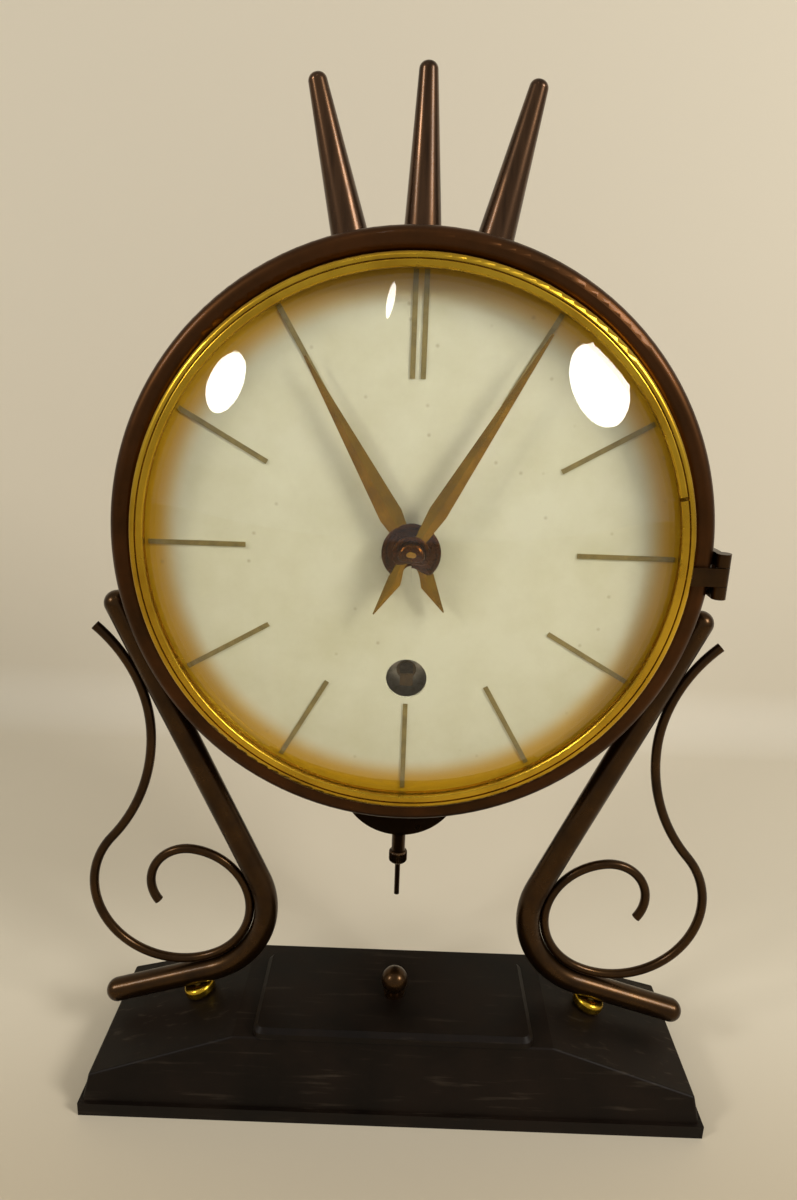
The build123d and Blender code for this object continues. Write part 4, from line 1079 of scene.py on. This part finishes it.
@dataclass
class Studio:
    """Pale table and backdrop, lamps, world and camera."""

    image_high: int = 1200
    focal_px: float = 830.0
    camera_mm: tuple[float, float, float] = (-2.0, -203.4, 202.8)
    pitch_deg: float = 16.1
    yaw_deg: float = -0.2
    roll_deg: float = 2.0
    sensor_mm: float = 36.0
    clip_m: float = 0.01
    table: str = "#DBD3C1"
    # table colour near the camera: painted shade, a fall-off of light
    table_painted_shade: str = "#C5B9A2"
    table_roughness: float = 0.7
    painted_shade_mm: tuple[float, float] = (-60.0, 40.0)
    world: str = "#FFFBF3"
    world_strength: float = 0.44
    wall_mm: float = 238.0
    wall_top_mm: float = 2500.0
    half_width_mm: float = 3000.0
    near_mm: float = -1500.0
    sweep_mm: float = 30.0
    sweep_steps: int = 12
    lamps: tuple[Lamp, ...] = (
        Lamp("left_lamp", (-643.0, -400.0, 559.0), width_mm=150.0, height_mm=216.0, radiance=24.0),
        Lamp("right_lamp", (620.0, -400.0, 592.0), width_mm=240.0, height_mm=294.0, radiance=24.0),
        Lamp("top_strip", (-96.0, -459.0, 873.0), width_mm=26.0, height_mm=140.0, radiance=14.0),
    )

    def board_mesh(self) -> bpy.types.Mesh:
        """Build the sheet of the table and the wall, with its normals towards the clock.

        Returns:
            The new mesh.
        """
        mesh = bmesh.new()
        wide, near = self.half_width_mm * MM, self.near_mm * MM
        wall, sweep = self.wall_mm * MM, self.sweep_mm * MM
        bend = wall - sweep
        points = [Vector((-wide, near, 0.0)), Vector((-wide, bend, 0.0))]
        for step in range(1, self.sweep_steps + 1):
            turn = math.pi / 2 * step / self.sweep_steps
            points.append(Vector((-wide, bend + sweep * math.sin(turn), sweep * (1 - math.cos(turn)))))
        points.append(Vector((-wide, wall, self.wall_top_mm * MM)))
        verts = [mesh.verts.new(p) for p in points]
        edges = [mesh.edges.new(pair) for pair in zip(verts, verts[1:])]
        grown = bmesh.ops.extrude_edge_only(mesh, edges=edges)
        moved = [item for item in grown["geom"] if isinstance(item, bmesh.types.BMVert)]
        bmesh.ops.translate(mesh, verts=moved, vec=Vector((2 * wide, 0.0, 0.0)))
        table = min(mesh.faces, key=lambda face: face.calc_center_median().y)
        table.normal_update()
        if table.normal.z < 0:
            bmesh.ops.reverse_faces(mesh, faces=mesh.faces)
        for face in mesh.faces:
            face.smooth = True
        data = bpy.data.meshes.new("table_and_wall")
        mesh.to_mesh(data)
        mesh.free()
        return data

    def board_paint(self) -> bpy.types.Material:
        """Build the matt paint, darkened near the camera by painted shade, and clear from behind.

        Returns:
            The new material.
        """
        material = bpy.data.materials.new("painted_board")
        material.use_nodes = True
        tree = material.node_tree
        shader = tree.nodes["Principled BSDF"]
        shader.inputs["Roughness"].default_value = self.table_roughness
        place = add_node(tree, "ShaderNodeTexCoord")
        ground = add_node(tree, "ShaderNodeSeparateXYZ", {"Vector": place.outputs["Object"]})
        near_edge, far_edge = (v * MM for v in self.painted_shade_mm)
        # painted shade: the table darkens towards the camera between these depths
        painted_shade_fade = add_node(
            tree,
            "ShaderNodeMapRange",
            {"Value": ground.outputs["Y"], "From Min": near_edge, "From Max": far_edge},
            interpolation_type="SMOOTHSTEP",
        )
        paint = Finish.blend(tree, painted_shade_fade.outputs["Result"], linear(self.table_painted_shade), linear(self.table))
        tree.links.new(paint, shader.inputs["Base Color"])
        side = add_node(tree, "ShaderNodeNewGeometry")
        clear = add_node(tree, "ShaderNodeBsdfTransparent")
        mix = add_node(
            tree,
            "ShaderNodeMixShader",
            {0: side.outputs["Backfacing"], 1: shader.outputs[0], 2: clear.outputs[0]},
        )
        tree.links.new(mix.outputs[0], tree.nodes["Material Output"].inputs["Surface"])
        return material

    def backdrop(self) -> None:
        """Set up a table that sweeps up into a wall, which can be looked through from behind."""
        data = self.board_mesh()
        data.materials.append(self.board_paint())
        board = bpy.data.objects.new("table_and_wall", data)
        bpy.context.scene.collection.objects.link(board)

    def camera(self) -> None:
        """Place the camera where the hour lines of the photo put it."""
        pitch, yaw, roll = (math.radians(v) for v in (self.pitch_deg, self.yaw_deg, self.roll_deg))
        ahead = Vector(
            (math.sin(yaw) * math.cos(pitch), math.cos(yaw) * math.cos(pitch), -math.sin(pitch))
        )
        right = Vector((math.cos(yaw), -math.sin(yaw), 0.0))
        up = right.cross(ahead)
        across = right * math.cos(roll) + up * math.sin(roll)
        above = up * math.cos(roll) - right * math.sin(roll)
        data = bpy.data.cameras.new("camera")
        data.sensor_fit = "VERTICAL"
        data.sensor_width = data.sensor_height = self.sensor_mm
        data.lens = self.focal_px / self.image_high * self.sensor_mm
        data.clip_start = self.clip_m
        camera = bpy.data.objects.new("camera", data)
        place = Matrix((across, above, -ahead)).transposed().to_4x4()
        place.translation = Vector(self.camera_mm) * MM
        camera.matrix_world = place
        bpy.context.scene.collection.objects.link(camera)
        bpy.context.scene.camera = camera

    def build(self) -> None:
        """Set up the table, the light and the camera."""
        self.backdrop()
        for lamp in self.lamps:
            lamp.build()
        world = bpy.data.worlds.new("studio")
        world.use_nodes = True
        ground = world.node_tree.nodes["Background"]
        ground.inputs["Color"].default_value = linear(self.world)
        ground.inputs["Strength"].default_value = self.world_strength
        bpy.context.scene.world = world
        bpy.context.scene.view_settings.view_transform = "Standard"
        self.camera()


def main() -> None:
    """Dress and build the clock, then set the stage."""
    logging.basicConfig(level=logging.INFO)
    shared = Clock()
    parts = (Base(), Legs(shared), Case(shared), Bezel(shared), Dial(), Movement(shared), Pendulum(shared))
    for part in parts:
        part.dress()
    Studio().build()


if __name__ == "__main__":
    main()
